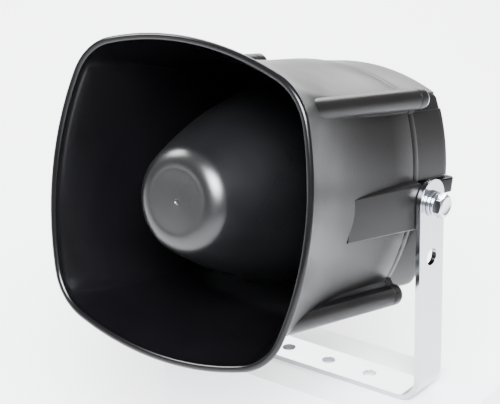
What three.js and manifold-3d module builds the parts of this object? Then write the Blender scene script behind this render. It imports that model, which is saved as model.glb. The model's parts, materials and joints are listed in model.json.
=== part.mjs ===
// Re-entrant horn loudspeaker on a U-shaped steel bracket, as an assembly of separate solids.
// Units are millimetres. +Z is up, the horn's mouth faces -Y, the bracket stands on z = 0 and is
// centred on x = 0. The horn is built level, with its axis along Y through the pivot axis, and is
// then turned up by its tilt in the bracket.

import * as THREE from 'three';
import { mergeVertices } from 'three/addons/utils/BufferGeometryUtils.js';
import Module from 'manifold-3d';

const wasm = await Module();
wasm.setup();

// ---------------------------------------------------------------------------------------------
// Driving dimensions
// ---------------------------------------------------------------------------------------------

const GAP = 0.3; // clearance left between neighbouring solids

// Bracket: one strip of steel bent to a U
const STRAP_WIDTH = 20;
const STRAP_THICK = 2.5;
const BRACKET_HALF = 58; // outer half width over the arms
const BEND_RADIUS = 12.5; // outer radius of the two bends
const ARM_TOP = 110.7;
const PIVOT_HEIGHT = 99.5;
const PIVOT_HOLE = 3.3; // radius, clears an M6 bolt
const SPARE_HOLE = 4; // radius of the second hole in each arm
const SPARE_HOLE_DROP = 26.5; // how far it lies below the pivot
const BASE_HOLE = 3.25;
const BASE_HOLE_SPACING = 24;

// Horn, in its own level frame: y = 0 is the pivot axis, z = 0 the horn's axis
const TILT_UP = THREE.MathUtils.degToRad(13.1);
const MOUTH_Y = -114.6;
const SEAM_Y = -7.6;
const BELL_WALL = 2.5;
const LIP_RADIUS = 1.6;
const FLARE_POWER = 2.85; // the flare opens late, close to the mouth
const MOUTH = { halfWidth: 69.5, halfHeight: 69.5, side: 143, corner: 27.4 };
const SEAM = { halfWidth: 51.2, halfHeight: 55, side: 98, corner: 6 };

// Corner screw tubes and lugs
const TUBE_X = 45.1;
const TUBE_Z = 45.7;
const TUBE_RADIUS = 5;
const RIB_LENGTH = 14; // ties a tube to the wall inside it
const RIB_WIDTH = 6;
const SCREW_RADIUS = 2; // M4 corner screws
const SCREW_TIP_Y = -34;
const SEAT_RADIUS = 5.1; // room for the washer and the screw's head
const SEAT_END_Y = 3;

// Side pads and pivot blocks
const PAD_FRONT_Y = -59;
const PAD_BOTTOM = -12.4;
const PAD_TOP_FRONT = 6.5;
const PAD_TOP_REAR = 9.3;
const PAD_ROOT_X = 40; // hidden inside the bell's wall
const BLOCK_FACE_X = BRACKET_HALF - STRAP_THICK - GAP;
const BLOCK_REAR_Y = 8;

// Rear housing and hood
const FLANGE_REAR_Y = -1.8;
const SHELF_BOTTOM = 1.3;
const SHELF_TOP = 8.3;
const SHELF_REAR_Y = 29.5;
const SHELF_HALF = 52.4;
const BOWL_REAR_Y = 29;
const BOWL_CORNER = 5;
const BOWL_EDGE = 7; // radius of the bowl's rear edge
const REAR_WALL = 2.4;
const HOOD_BOTTOM = 9.2;
const HOOD_FRONT_Y = FLANGE_REAR_Y + GAP;
const HOOD_REAR_Y = 26;
const HOOD_INSET = 1.2;
const HOOD_SLOPE = 1.1; // how far the hood's roof falls towards the rear
const HOOD_TAPER = 0.7; // how far each of its sides closes in
const HOOD_EDGE = 2;
const RECESS_DEPTH = 0.8; // the hood's upper corners are let in behind the corner screws
const RECESS_X = 36.5;
const RECESS_Z = 38.7;

// Re-entrant horn inside the bell
const WALL_FRONT_Y = -12.6;
const WALL_REAR_Y = -10.1;
const NOSE_Y = -112.8;
const NOSE_FLAT = 13.8;
const NOSE_ROUND = 10.5;
const CUP_REAR_Y = -34;
const CUP_REAR_RADIUS = 46;
const CUP_POWER = 1.5; // the cup widens fast behind its nose and ends almost parallel
const CUP_WALL = 2.2;
const POST_FRONT_Y = -56;
const TUBE_FRONT_Y = -88;
const THROAT_RADIUS = 9;

// Pivot hardware: M6
const BOLT_RADIUS = 2.95;
const BOLT_LENGTH = 18;
const HEX_FLATS = 10;
const HEX_HEIGHT = 4;
const WASHER_RADIUS = 6;
const WASHER_THICK = 1.5;
const SPRING_RADIUS = 5.6;
const SPRING_THICK = 1.5;
const WASHER_X = BRACKET_HALF + 0.1;
const SPRING_X = WASHER_X + WASHER_THICK + 0.1;
const BOLT_SEAT_X = SPRING_X + SPRING_THICK + 0.1;
const INSERT_RADIUS = 4.4;
const INSERT_LENGTH = 12;

// Cable gland in the hood's rear wall
const GLAND_Z = 41;
const GLAND_THREAD = 5;

// Driver
const DRIVER_RADIUS = 33;
const MAGNET_RADIUS = 35;
const DRIVER_SCREW_CIRCLE = 28;
const REFLECTOR_SCREW_CIRCLE = 38.4;
const COIL_INNER = 15.2;
const COIL_OUTER = 16.6;
const POLE_RADIUS = 14.6;
const GAP_RADIUS = 17.2;

// ---------------------------------------------------------------------------------------------
// Materials
// ---------------------------------------------------------------------------------------------

function finish(color, roughness, metalness) {
  return new THREE.MeshStandardMaterial({ color, roughness, metalness });
}

const satinPlastic = finish(0x1b1c1e, 0.55, 0);
const glossPlastic = finish(0x0c0c0d, 0.2, 0);
const nosePlastic = finish(0x17181a, 0.35, 0);
const innerPlastic = finish(0x26272a, 0.6, 0);
const brightSteel = finish(0xd6d8da, 0.18, 1);
const zincSteel = finish(0xbfc3c7, 0.3, 1);
const plateSteel = finish(0x9fa3a6, 0.35, 1);
const ferrite = finish(0x2b2a2a, 0.75, 0.1);
const brass = finish(0xc29a4b, 0.35, 1);
const copper = finish(0xb56a3a, 0.35, 1);
const phenolic = finish(0x5c3a24, 0.6, 0);
const rubber = finish(0x111112, 0.85, 0);
const terminalPlastic = finish(0xd9d6cc, 0.5, 0);
const wireRed = finish(0x9c1f1f, 0.5, 0);

// ---------------------------------------------------------------------------------------------
// Solid helpers
// ---------------------------------------------------------------------------------------------

/** Signed volume of a closed indexed triangle mesh. */
function signedVolume(points, triangles) {
  let total = 0;
  for (let i = 0; i < triangles.length; i += 3) {
    const [a, b, c] = [triangles[i], triangles[i + 1], triangles[i + 2]].map((k) => k * 3);
    total += points[a] * (points[b + 1] * points[c + 2] - points[b + 2] * points[c + 1]);
    total -= points[a + 1] * (points[b] * points[c + 2] - points[b + 2] * points[c]);
    total += points[a + 2] * (points[b] * points[c + 1] - points[b + 1] * points[c]);
  }
  return total / 6;
}

/** A closed THREE geometry as a Manifold solid with outward faces. */
function solid(geometry) {
  const bare = new THREE.BufferGeometry();
  bare.setAttribute('position', geometry.getAttribute('position'));
  if (geometry.index) bare.setIndex(geometry.index);
  const merged = mergeVertices(bare, 1e-4);
  const points = new Float32Array(merged.getAttribute('position').array);
  const index = merged.index.array;
  const kept = [];
  for (let i = 0; i < index.length; i += 3) {
    const [a, b, c] = [index[i], index[i + 1], index[i + 2]];
    if (a !== b && b !== c && c !== a) kept.push(a, b, c);
  }
  if (signedVolume(points, kept) < 0) kept.reverse();
  const mesh = new wasm.Mesh({ numProp: 3, vertProperties: points, triVerts: new Uint32Array(kept) });
  return new wasm.Manifold(mesh);
}

/** A Manifold solid as a THREE geometry. */
function geometryOf(body) {
  const mesh = body.getMesh();
  const geometry = new THREE.BufferGeometry();
  const stride = mesh.numProp;
  const count = mesh.vertProperties.length / stride;
  const points = new Float32Array(count * 3);
  for (let i = 0; i < count; i += 1) {
    for (let k = 0; k < 3; k += 1) points[3 * i + k] = mesh.vertProperties[stride * i + k];
  }
  geometry.setAttribute('position', new THREE.BufferAttribute(points, 3));
  geometry.setIndex(Array.from(mesh.triVerts));
  geometry.computeVertexNormals();
  return geometry;
}

function unite(...bodies) {
  return bodies.reduce((sum, body) => sum.add(body));
}

function cut(body, ...tools) {
  return tools.reduce((rest, tool) => rest.subtract(tool), body);
}

function part(group, name, body, material) {
  const mesh = new THREE.Mesh(geometryOf(body), material);
  mesh.name = name;
  group.add(mesh);
  return mesh;
}

/** Revolve [radius, y] points about the Y axis; the profile closes on itself unless it ends on the axis. */
function revolve(profile, segments = 32, x = 0, z = 0) {
  const points = profile.map(([r, y]) => new THREE.Vector2(r, y));
  const onAxis = points[0].x === 0 && points[points.length - 1].x === 0;
  if (!onAxis) points.push(points[0].clone());
  return solid(new THREE.LatheGeometry(points, segments).translate(x, 0, z));
}

/** A cylinder along Y. */
function rodY(radius, y0, y1, x = 0, z = 0, segments = 20) {
  const rod = new THREE.CylinderGeometry(radius, radius, y1 - y0, segments);
  return solid(rod.translate(x, (y0 + y1) / 2, z));
}

/** A cylinder along X. */
function rodX(radius, x0, x1, y = 0, z = 0, segments = 20) {
  const rod = new THREE.CylinderGeometry(radius, radius, x1 - x0, segments);
  return solid(rod.rotateZ(Math.PI / 2).translate((x0 + x1) / 2, y, z));
}

/** A cylinder along Z. */
function rodZ(radius, z0, z1, x = 0, y = 0, segments = 20) {
  const rod = new THREE.CylinderGeometry(radius, radius, z1 - z0, segments);
  return solid(rod.rotateX(Math.PI / 2).translate(x, y, (z0 + z1) / 2));
}

function box(x0, x1, y0, y1, z0, z1) {
  const block = new THREE.BoxGeometry(x1 - x0, y1 - y0, z1 - z0);
  return solid(block.translate((x0 + x1) / 2, (y0 + y1) / 2, (z0 + z1) / 2));
}

/** A flat shape drawn in x and y, swept along z. */
function extrude(shape, depth, segments = 8) {
  return new THREE.ExtrudeGeometry(shape, { depth, bevelEnabled: false, curveSegments: segments });
}

/** Skin a list of rings that have the same number of points, with a cap on each end or closed on itself. */
function loft(rings, closedLoop = false) {
  const size = rings[0].length;
  const positions = rings.flat().flatMap((p) => [p.x, p.y, p.z]);
  const triangles = [];
  const spans = closedLoop ? rings.length : rings.length - 1;
  for (let i = 0; i < spans; i += 1) {
    const here = i * size;
    const next = ((i + 1) % rings.length) * size;
    for (let j = 0; j < size; j += 1) {
      const k = (j + 1) % size;
      triangles.push(here + j, next + j, next + k, here + j, next + k, here + k);
    }
  }
  if (!closedLoop) {
    const last = (rings.length - 1) * size;
    for (const [start, flip] of [[0, false], [last, true]]) {
      const centre = positions.length / 3;
      const y = positions[3 * start + 1];
      positions.push(0, y, 0);
      for (let j = 0; j < size; j += 1) {
        const k = (j + 1) % size;
        if (flip) triangles.push(centre, start + k, start + j);
        else triangles.push(centre, start + j, start + k);
      }
    }
  }
  const geometry = new THREE.BufferGeometry();
  geometry.setAttribute('position', new THREE.Float32BufferAttribute(positions, 3));
  geometry.setIndex(triangles);
  return solid(geometry);
}

// ---------------------------------------------------------------------------------------------
// The horn's rounded-square section
// ---------------------------------------------------------------------------------------------

const SIDE_STEPS = 4;
const CORNER_STEPS = 4;

/** Centre of the corner arc that touches both side arcs from inside. */
function cornerCentre({ halfWidth, halfHeight, side, corner }) {
  const a = side - halfWidth;
  const b = side - halfHeight;
  const reach = side - corner;
  // (x + a)^2 + z^2 = reach^2 and x^2 + (z + b)^2 = reach^2
  const slope = b / a;
  const offset = (b * b - a * a) / (2 * a);
  const qa = slope * slope + 1;
  const qb = 2 * slope * (offset + a);
  const qc = (offset + a) * (offset + a) - reach * reach;
  const z = (-qb + Math.sqrt(qb * qb - 4 * qa * qc)) / (2 * qa);
  return { x: slope * z + offset, z };
}

/** One quarter of the section: right side arc, corner arc, top arc. */
function sectionQuarter(section) {
  const { halfWidth, halfHeight, side, corner } = section;
  const centre = cornerCentre(section);
  const sideEnd = Math.atan2(centre.z, centre.x + side - halfWidth);
  const topStart = Math.atan2(centre.z + side - halfHeight, centre.x);
  const points = [];
  for (let i = 0; i < SIDE_STEPS; i += 1) {
    const angle = (sideEnd * i) / SIDE_STEPS;
    points.push([halfWidth - side + side * Math.cos(angle), side * Math.sin(angle)]);
  }
  for (let i = 0; i <= CORNER_STEPS; i += 1) {
    const angle = sideEnd + ((topStart - sideEnd) * i) / CORNER_STEPS;
    points.push([centre.x + corner * Math.cos(angle), centre.z + corner * Math.sin(angle)]);
  }
  for (let i = 1; i <= SIDE_STEPS; i += 1) {
    const angle = topStart + ((Math.PI / 2 - topStart) * i) / SIDE_STEPS;
    points.push([side * Math.cos(angle), halfHeight - side + side * Math.sin(angle)]);
  }
  return points;
}

/** The whole section as a ring of points at one y. */
function sectionRing(section, y) {
  const quarter = sectionQuarter(section);
  const back = quarter.slice(1, -1).reverse();
  const outline = [
    ...quarter,
    ...back.map(([x, z]) => [-x, z]),
    ...quarter.map(([x, z]) => [-x, -z]),
    ...back.map(([x, z]) => [x, -z]),
  ];
  return outline.map(([x, z]) => new THREE.Vector3(x, y, z));
}

/** The same number of points pulled to a circle. */
function circleRing(ring, radius, y) {
  return ring.map((p) => {
    const scale = radius / Math.hypot(p.x, p.z);
    return new THREE.Vector3(p.x * scale, y, p.z * scale);
  });
}

function inset(section, amount, leastCorner = 2) {
  return {
    halfWidth: section.halfWidth - amount,
    halfHeight: section.halfHeight - amount,
    side: section.side - amount,
    corner: Math.max(section.corner - amount, leastCorner),
  };
}

/** The bell's outer section at a given y, from the seam to the mouth. */
function bellSection(y) {
  const along = THREE.MathUtils.clamp((SEAM_Y - y) / (SEAM_Y - MOUTH_Y), 0, 1);
  const opened = along ** FLARE_POWER;
  const mix = (key) => SEAM[key] + (MOUTH[key] - SEAM[key]) * opened;
  return {
    halfWidth: mix('halfWidth'),
    halfHeight: mix('halfHeight'),
    side: mix('side'),
    corner: mix('corner'),
  };
}

// ---------------------------------------------------------------------------------------------
// Groups
// ---------------------------------------------------------------------------------------------

const loudspeaker = new THREE.Group();
loudspeaker.name = 'horn_loudspeaker';

const horn = new THREE.Group();
horn.name = 'horn_assembly';
horn.position.set(0, 0, PIVOT_HEIGHT);
horn.rotation.x = -TILT_UP;
loudspeaker.add(horn);

const SIDES = [['left', -1], ['right', 1]];
const CORNERS = [
  ['upper_left', -1, 1],
  ['upper_right', 1, 1],
  ['lower_left', -1, -1],
  ['lower_right', 1, -1],
];

// ---------------------------------------------------------------------------------------------
// Bracket
// ---------------------------------------------------------------------------------------------

/** The U of the strap, seen from the front. */
function strapOutline() {
  const inner = BEND_RADIUS - STRAP_THICK;
  const turn = BRACKET_HALF - BEND_RADIUS;
  const shape = new THREE.Shape();
  shape.moveTo(-BRACKET_HALF, ARM_TOP);
  shape.lineTo(-BRACKET_HALF, BEND_RADIUS);
  shape.absarc(-turn, BEND_RADIUS, BEND_RADIUS, Math.PI, 1.5 * Math.PI, false);
  shape.lineTo(turn, 0);
  shape.absarc(turn, BEND_RADIUS, BEND_RADIUS, -0.5 * Math.PI, 0, false);
  shape.lineTo(BRACKET_HALF, ARM_TOP);
  shape.lineTo(BRACKET_HALF - STRAP_THICK, ARM_TOP);
  shape.lineTo(BRACKET_HALF - STRAP_THICK, BEND_RADIUS);
  shape.absarc(turn, BEND_RADIUS, inner, 0, -0.5 * Math.PI, true);
  shape.lineTo(-turn, STRAP_THICK);
  shape.absarc(-turn, BEND_RADIUS, inner, 1.5 * Math.PI, Math.PI, true);
  shape.lineTo(-BRACKET_HALF + STRAP_THICK, ARM_TOP);
  shape.closePath();
  return shape;
}

/** The strap's side view: straight edges and full-round arm ends. */
function armOutline() {
  const half = STRAP_WIDTH / 2;
  const shape = new THREE.Shape();
  shape.moveTo(-half, -1);
  shape.lineTo(half, -1);
  shape.lineTo(half, ARM_TOP - half);
  shape.absarc(0, ARM_TOP - half, half, 0, Math.PI, false);
  shape.closePath();
  return shape;
}

function makeBracket() {
  const drawn = extrude(strapOutline(), STRAP_WIDTH, 8);
  const strap = solid(drawn.rotateX(Math.PI / 2).translate(0, STRAP_WIDTH / 2, 0));
  const sideView = extrude(armOutline(), 2 * BRACKET_HALF + 4, 12);
  // drawn with y across and z up, then swept along x
  const alongX = new THREE.Matrix4().set(0, 0, 1, 0, 1, 0, 0, 0, 0, 1, 0, 0, 0, 0, 0, 1);
  const swept = sideView.applyMatrix4(alongX);
  const envelope = solid(swept.translate(-BRACKET_HALF - 2, 0, 0));
  const reach = BRACKET_HALF + 1;
  const holes = [
    rodX(PIVOT_HOLE, -reach, reach, 0, PIVOT_HEIGHT, 24),
    rodX(SPARE_HOLE, -reach, reach, 0, PIVOT_HEIGHT - SPARE_HOLE_DROP, 24),
  ];
  for (const k of [-1, 0, 1]) {
    holes.push(rodZ(BASE_HOLE, -1, STRAP_THICK + 1, k * BASE_HOLE_SPACING, 0, 20));
  }
  return cut(strap.intersect(envelope), ...holes);
}

part(loudspeaker, 'bracket', makeBracket(), brightSteel);

// ---------------------------------------------------------------------------------------------
// Bell
// ---------------------------------------------------------------------------------------------

/** The bell's shell as one closed loop of rings: outside, lip, inside, rear wall and its hole, rim. */
function bellShell() {
  const rings = [];
  const flareSteps = 11;
  const lipY = MOUTH_Y + LIP_RADIUS;
  const flareEnd = lipY + 1.8;
  for (let i = 0; i <= flareSteps; i += 1) {
    const t = Math.sqrt(i / flareSteps);
    const y = SEAM_Y + (flareEnd - SEAM_Y) * t;
    rings.push(sectionRing(inset(bellSection(y), 0.2 * (i / flareSteps)), y));
  }
  const lipSteps = 6;
  for (let i = 0; i <= lipSteps; i += 1) {
    const angle = (Math.PI * i) / lipSteps;
    const inward = LIP_RADIUS * (1 - Math.cos(angle));
    rings.push(sectionRing(inset(MOUTH, inward), lipY - LIP_RADIUS * Math.sin(angle)));
  }
  for (let i = flareSteps; i >= 0; i -= 1) {
    const t = Math.sqrt(i / flareSteps);
    const y = WALL_FRONT_Y + (flareEnd - WALL_FRONT_Y) * t;
    rings.push(sectionRing(inset(bellSection(y), BELL_WALL), y));
  }
  const innerRim = sectionRing(inset(SEAM, BELL_WALL), WALL_REAR_Y);
  rings.push(circleRing(innerRim, 14, WALL_FRONT_Y));
  rings.push(circleRing(innerRim, 14, WALL_REAR_Y));
  rings.push(innerRim);
  rings.push(sectionRing(inset(SEAM, BELL_WALL), SEAM_Y));
  return loft(rings, true);
}

/** A solid that fills the bell to the middle of its wall, used to trim what is added outside. */
function bellCore() {
  const rings = [];
  const steps = 10;
  for (let i = 0; i <= steps; i += 1) {
    const y = SEAM_Y + 1 + (MOUTH_Y - 4 - SEAM_Y) * (i / steps);
    rings.push(sectionRing(inset(bellSection(y), BELL_WALL / 2), y));
  }
  return loft(rings);
}

/** The tapered pad on the bell's side that carries the load to the pivot block. */
function sidePad(side) {
  const frontX = bellSection(PAD_FRONT_Y).halfWidth - 0.4;
  const ring = (y, x, top) => [
    new THREE.Vector3(side * PAD_ROOT_X, y, PAD_BOTTOM - 1),
    new THREE.Vector3(side * x, y, PAD_BOTTOM),
    new THREE.Vector3(side * x, y, top),
    new THREE.Vector3(side * PAD_ROOT_X, y, top + 1),
  ];
  const front = ring(PAD_FRONT_Y, frontX, PAD_TOP_FRONT);
  const rear = ring(SEAM_Y, BLOCK_FACE_X, PAD_TOP_REAR);
  return loftBlock(front, rear);
}

/** A block between two four-cornered ends. */
function loftBlock(front, rear) {
  const positions = [...front, ...rear].flatMap((p) => [p.x, p.y, p.z]);
  const geometry = new THREE.BufferGeometry();
  const quads = [[0, 1, 2, 3], [7, 6, 5, 4], [0, 4, 5, 1], [1, 5, 6, 2], [2, 6, 7, 3], [3, 7, 4, 0]];
  geometry.setAttribute('position', new THREE.Float32BufferAttribute(positions, 3));
  geometry.setIndex(quads.flatMap(([a, b, c, d]) => [a, b, c, a, c, d]));
  return solid(geometry);
}

/** A corner screw tube with the rib that ties it to the wall inside it. */
function cornerTube(y0, y1, sx, sz) {
  const tube = rodY(TUBE_RADIUS, y0, y1, sx * TUBE_X, sz * TUBE_Z, 20);
  const rib = new THREE.BoxGeometry(RIB_LENGTH, y1 - y0, RIB_WIDTH).rotateY((sx * sz * -Math.PI) / 4);
  rib.translate(sx * (TUBE_X - TUBE_RADIUS), (y0 + y1) / 2, sz * (TUBE_Z - TUBE_RADIUS));
  return tube.add(solid(rib));
}

function makeBell() {
  const added = [];
  for (const [, sx, sz] of CORNERS) added.push(cornerTube(MOUTH_Y + 14, SEAM_Y, sx, sz));
  for (const [, side] of SIDES) added.push(sidePad(side));
  const outside = cut(unite(...added), bellCore());
  const holes = [];
  for (const [, sx, sz] of CORNERS) {
    holes.push(rodY(SCREW_RADIUS + 0.08, SCREW_TIP_Y - 2, SEAM_Y + 1, sx * TUBE_X, sz * TUBE_Z, 16));
  }
  for (const [x, z] of onCircle(DRIVER_SCREW_CIRCLE, 4, 45)) {
    holes.push(rodY(2.2, WALL_FRONT_Y - 1, WALL_REAR_Y + 1, x, z, 12));
  }
  for (const [x, z] of onCircle(REFLECTOR_SCREW_CIRCLE, 3, 90)) {
    holes.push(rodY(1.7, WALL_FRONT_Y - 1, WALL_REAR_Y + 1, x, z, 12));
  }
  return cut(unite(bellShell(), outside), ...holes);
}

/** Evenly spaced places on a circle about the horn's axis, from a first angle in degrees. */
function onCircle(radius, count, firstDegrees) {
  const places = [];
  for (let i = 0; i < count; i += 1) {
    const angle = THREE.MathUtils.degToRad(firstDegrees + (360 * i) / count);
    places.push([radius * Math.cos(angle), radius * Math.sin(angle)]);
  }
  return places;
}

part(horn, 'horn_bell', makeBell(), satinPlastic);

// ---------------------------------------------------------------------------------------------
// Reflector and throat
// ---------------------------------------------------------------------------------------------

const SHOULDER_Y = NOSE_Y + NOSE_ROUND;
const CUP_START_RADIUS = NOSE_FLAT + 0.9 * NOSE_ROUND;
const CUP_LEAN = Math.atan((CUP_POWER * (CUP_REAR_RADIUS - CUP_START_RADIUS)) / (CUP_REAR_Y - SHOULDER_Y));

/** The cup's wall from its nose's round shoulder to its rear rim, as [radius, y] points. */
function cupLine(steps) {
  const first = {
    radius: NOSE_FLAT + NOSE_ROUND * Math.cos(CUP_LEAN),
    y: SHOULDER_Y - NOSE_ROUND * Math.sin(CUP_LEAN),
  };
  const points = [];
  for (let i = 0; i <= steps; i += 1) {
    const t = i / steps;
    const opened = 1 - (1 - t) ** CUP_POWER;
    const radius = first.radius + (CUP_REAR_RADIUS - first.radius) * opened;
    points.push([radius, first.y + (CUP_REAR_Y - first.y) * t]);
  }
  return points;
}

function makeReflector() {
  const roundSteps = 7;
  const outside = [[0, NOSE_Y + 0.7], [3, NOSE_Y + 0.6], [8, NOSE_Y + 0.25]];
  for (let i = 0; i < roundSteps; i += 1) {
    const angle = -Math.PI / 2 + ((Math.PI / 2 - CUP_LEAN) * i) / roundSteps;
    outside.push([NOSE_FLAT + NOSE_ROUND * Math.cos(angle), SHOULDER_Y + NOSE_ROUND * Math.sin(angle)]);
  }
  outside.push(...cupLine(8));
  const inside = cupLine(5).reverse().map(([radius, y]) => [radius - CUP_WALL, y]);
  inside.push([NOSE_FLAT + 4, NOSE_Y + 4.6], [NOSE_FLAT - 2, NOSE_Y + 3.2], [0, NOSE_Y + 3.2]);
  const cup = revolve([...outside, ...inside], 40);
  const posts = [];
  const holes = [];
  for (const [x, z] of onCircle(REFLECTOR_SCREW_CIRCLE, 3, 90)) {
    posts.push(rodY(3.2, POST_FRONT_Y, WALL_FRONT_Y - GAP, x, z, 16));
    holes.push(rodY(1.5, WALL_FRONT_Y - 12, WALL_FRONT_Y + 1, x, z, 16));
  }
  return cut(unite(cup, ...posts), ...holes);
}

const GASKET_THICK = 0.8;
const THROAT_FLANGE_FRONT = WALL_REAR_Y + GASKET_THICK + 0.4;
const THROAT_FLANGE_REAR = THROAT_FLANGE_FRONT + 3;

function driverScrewHoles(radius, y0, y1) {
  return onCircle(DRIVER_SCREW_CIRCLE, 4, 45).map(([x, z]) => rodY(radius, y0, y1, x, z, 12));
}

function makeThroatTube() {
  const body = revolve([
    [THROAT_RADIUS, THROAT_FLANGE_REAR],
    [THROAT_RADIUS + 3.8, TUBE_FRONT_Y],
    [THROAT_RADIUS + 5.4, TUBE_FRONT_Y],
    [THROAT_RADIUS + 2.6, THROAT_FLANGE_FRONT],
    [DRIVER_RADIUS, THROAT_FLANGE_FRONT],
    [DRIVER_RADIUS, THROAT_FLANGE_REAR],
  ], 36);
  return cut(body, ...driverScrewHoles(2.2, THROAT_FLANGE_FRONT - 1, THROAT_FLANGE_REAR + 1));
}

function makeThroatGasket() {
  const y0 = WALL_REAR_Y + 0.2;
  const y1 = y0 + GASKET_THICK;
  const ring = revolve([[15, y0], [15, y1], [DRIVER_RADIUS - 1, y1], [DRIVER_RADIUS - 1, y0]], 32);
  return cut(ring, ...driverScrewHoles(2.3, y0 - 1, y0 + 2));
}

part(horn, 'reflector', makeReflector(), nosePlastic);
part(horn, 'throat_tube', makeThroatTube(), innerPlastic);
part(horn, 'throat_gasket', makeThroatGasket(), rubber);

// ---------------------------------------------------------------------------------------------
// Driver
// ---------------------------------------------------------------------------------------------

const CLAMP_FRONT = THROAT_FLANGE_REAR + 0.2;
const CLAMP_REAR = CLAMP_FRONT + 2.6;
const DIAPHRAGM_Y = CLAMP_REAR + 0.8; // mid plane of the diaphragm's rim
const TOP_PLATE_FRONT = CLAMP_REAR + 1.6;
const TOP_PLATE_REAR = TOP_PLATE_FRONT + 5;
const MAGNET_FRONT = TOP_PLATE_REAR + 0.1;
const MAGNET_REAR = MAGNET_FRONT + 12;
const YOKE_FRONT = MAGNET_REAR + 0.1;
const YOKE_REAR = YOKE_FRONT + 5;

function makePhasePlug() {
  const rear = THROAT_FLANGE_REAR - 0.2;
  const plug = revolve([[0, rear - 22], [2.2, rear - 16], [4.6, rear - 6], [5.6, rear], [0, rear]], 24);
  const fins = [];
  for (let i = 0; i < 3; i += 1) {
    const fin = new THREE.BoxGeometry(5.6, 8, 1.2).translate(6, rear - 4.2, 0);
    fins.push(solid(fin.rotateY((2 * Math.PI * i) / 3)));
  }
  return unite(plug, ...fins);
}

function makeClampRing() {
  const ring = revolve([
    [22, CLAMP_FRONT], [22, CLAMP_REAR],
    [DRIVER_RADIUS, CLAMP_REAR], [DRIVER_RADIUS, CLAMP_FRONT],
  ], 36);
  const spacer = revolve([
    [23.5, CLAMP_REAR - 0.5], [23.5, TOP_PLATE_FRONT - 0.1],
    [DRIVER_RADIUS, TOP_PLATE_FRONT - 0.1], [DRIVER_RADIUS, CLAMP_REAR - 0.5],
  ], 36);
  return cut(unite(ring, spacer), ...driverScrewHoles(2.2, CLAMP_FRONT - 1, TOP_PLATE_FRONT + 1));
}

/** A thin dome with a flat rim; it moves with the voice coil. */
function makeDiaphragm() {
  const thick = 0.4;
  const rise = 3;
  const dome = 15;
  const front = [];
  const back = [];
  const steps = 4;
  for (let i = 0; i <= steps; i += 1) {
    const r = (dome * i) / steps;
    const height = rise * (1 - (r / dome) ** 2);
    front.push([r, DIAPHRAGM_Y - height - thick / 2]);
    back.unshift([r, DIAPHRAGM_Y - height + thick / 2]);
  }
  return revolve([...front, [22.8, DIAPHRAGM_Y - thick / 2], [22.8, DIAPHRAGM_Y + thick / 2], ...back], 28);
}

function makeVoiceCoil() {
  const top = DIAPHRAGM_Y + 0.3;
  return revolve([
    [COIL_INNER, top], [COIL_INNER, top + 7], [COIL_OUTER, top + 7],
    [COIL_OUTER, top + 2], [COIL_INNER + 0.6, top + 2], [COIL_INNER + 0.6, top],
  ], 36);
}

function makeTopPlate() {
  const plate = revolve([
    [GAP_RADIUS, TOP_PLATE_FRONT], [GAP_RADIUS, TOP_PLATE_REAR],
    [DRIVER_RADIUS, TOP_PLATE_REAR], [DRIVER_RADIUS, TOP_PLATE_FRONT],
  ], 36);
  return cut(plate, ...driverScrewHoles(2.05, TOP_PLATE_FRONT - 1, TOP_PLATE_REAR + 1));
}

function makeMagnet() {
  return revolve([
    [20, MAGNET_FRONT], [20, MAGNET_REAR],
    [MAGNET_RADIUS - 0.6, MAGNET_REAR], [MAGNET_RADIUS, MAGNET_REAR - 0.6],
    [MAGNET_RADIUS, MAGNET_FRONT + 0.6], [MAGNET_RADIUS - 0.6, MAGNET_FRONT],
  ], 40);
}

function makePoleYoke() {
  const poleTop = TOP_PLATE_FRONT + 0.4;
  return revolve([
    [3, poleTop], [POLE_RADIUS, poleTop], [POLE_RADIUS, YOKE_FRONT], [DRIVER_RADIUS, YOKE_FRONT],
    [DRIVER_RADIUS, YOKE_REAR - 1], [DRIVER_RADIUS - 1, YOKE_REAR], [3, YOKE_REAR],
  ], 36);
}

/** A pan-head screw along Y with its head towards -Y or +Y. */
function screwY(shank, length, headRadius, headHeight, seatY, x, z, headTowards) {
  const tip = seatY - headTowards * length;
  const headEnd = seatY + headTowards * headHeight;
  const profile = [
    [0, tip], [shank, tip], [shank, seatY], [headRadius, seatY],
    [headRadius, seatY + headTowards * headHeight * 0.45], [headRadius * 0.72, headEnd], [0, headEnd],
  ];
  const body = revolve(profile, 16, x, z);
  const slotLow = Math.min(headEnd, headEnd - headTowards * headHeight * 0.45);
  const slotHigh = Math.max(headEnd, headEnd - headTowards * headHeight * 0.45) + 0.5;
  const depth = [slotLow - (headTowards < 0 ? 0.5 : 0), slotHigh];
  const arm = headRadius * 0.5;
  const cross = unite(
    box(x - arm, x + arm, depth[0], depth[1], z - 0.4, z + 0.4),
    box(x - 0.4, x + 0.4, depth[0], depth[1], z - arm, z + arm),
  );
  return cut(body, cross);
}

part(horn, 'phase_plug', makePhasePlug(), innerPlastic);
part(horn, 'clamp_ring', makeClampRing(), innerPlastic);
part(horn, 'diaphragm', makeDiaphragm(), phenolic);
part(horn, 'voice_coil', makeVoiceCoil(), copper);
part(horn, 'top_plate', makeTopPlate(), plateSteel);
part(horn, 'magnet', makeMagnet(), ferrite);
part(horn, 'pole_yoke', makePoleYoke(), plateSteel);

onCircle(DRIVER_SCREW_CIRCLE, 4, 45).forEach(([x, z], i) => {
  const length = TOP_PLATE_REAR - 1 - WALL_FRONT_Y;
  const screw = screwY(1.95, length, 3.6, 2.4, WALL_FRONT_Y - 0.15, x, z, -1);
  part(horn, `driver_screw_${i + 1}`, screw, zincSteel);
});
onCircle(REFLECTOR_SCREW_CIRCLE, 3, 90).forEach(([x, z], i) => {
  const screw = screwY(1.4, 12, 2.8, 1.9, WALL_REAR_Y + 0.15, x, z, 1);
  part(horn, `reflector_screw_${i + 1}`, screw, zincSteel);
});

// ---------------------------------------------------------------------------------------------
// Rear housing
// ---------------------------------------------------------------------------------------------

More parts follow.
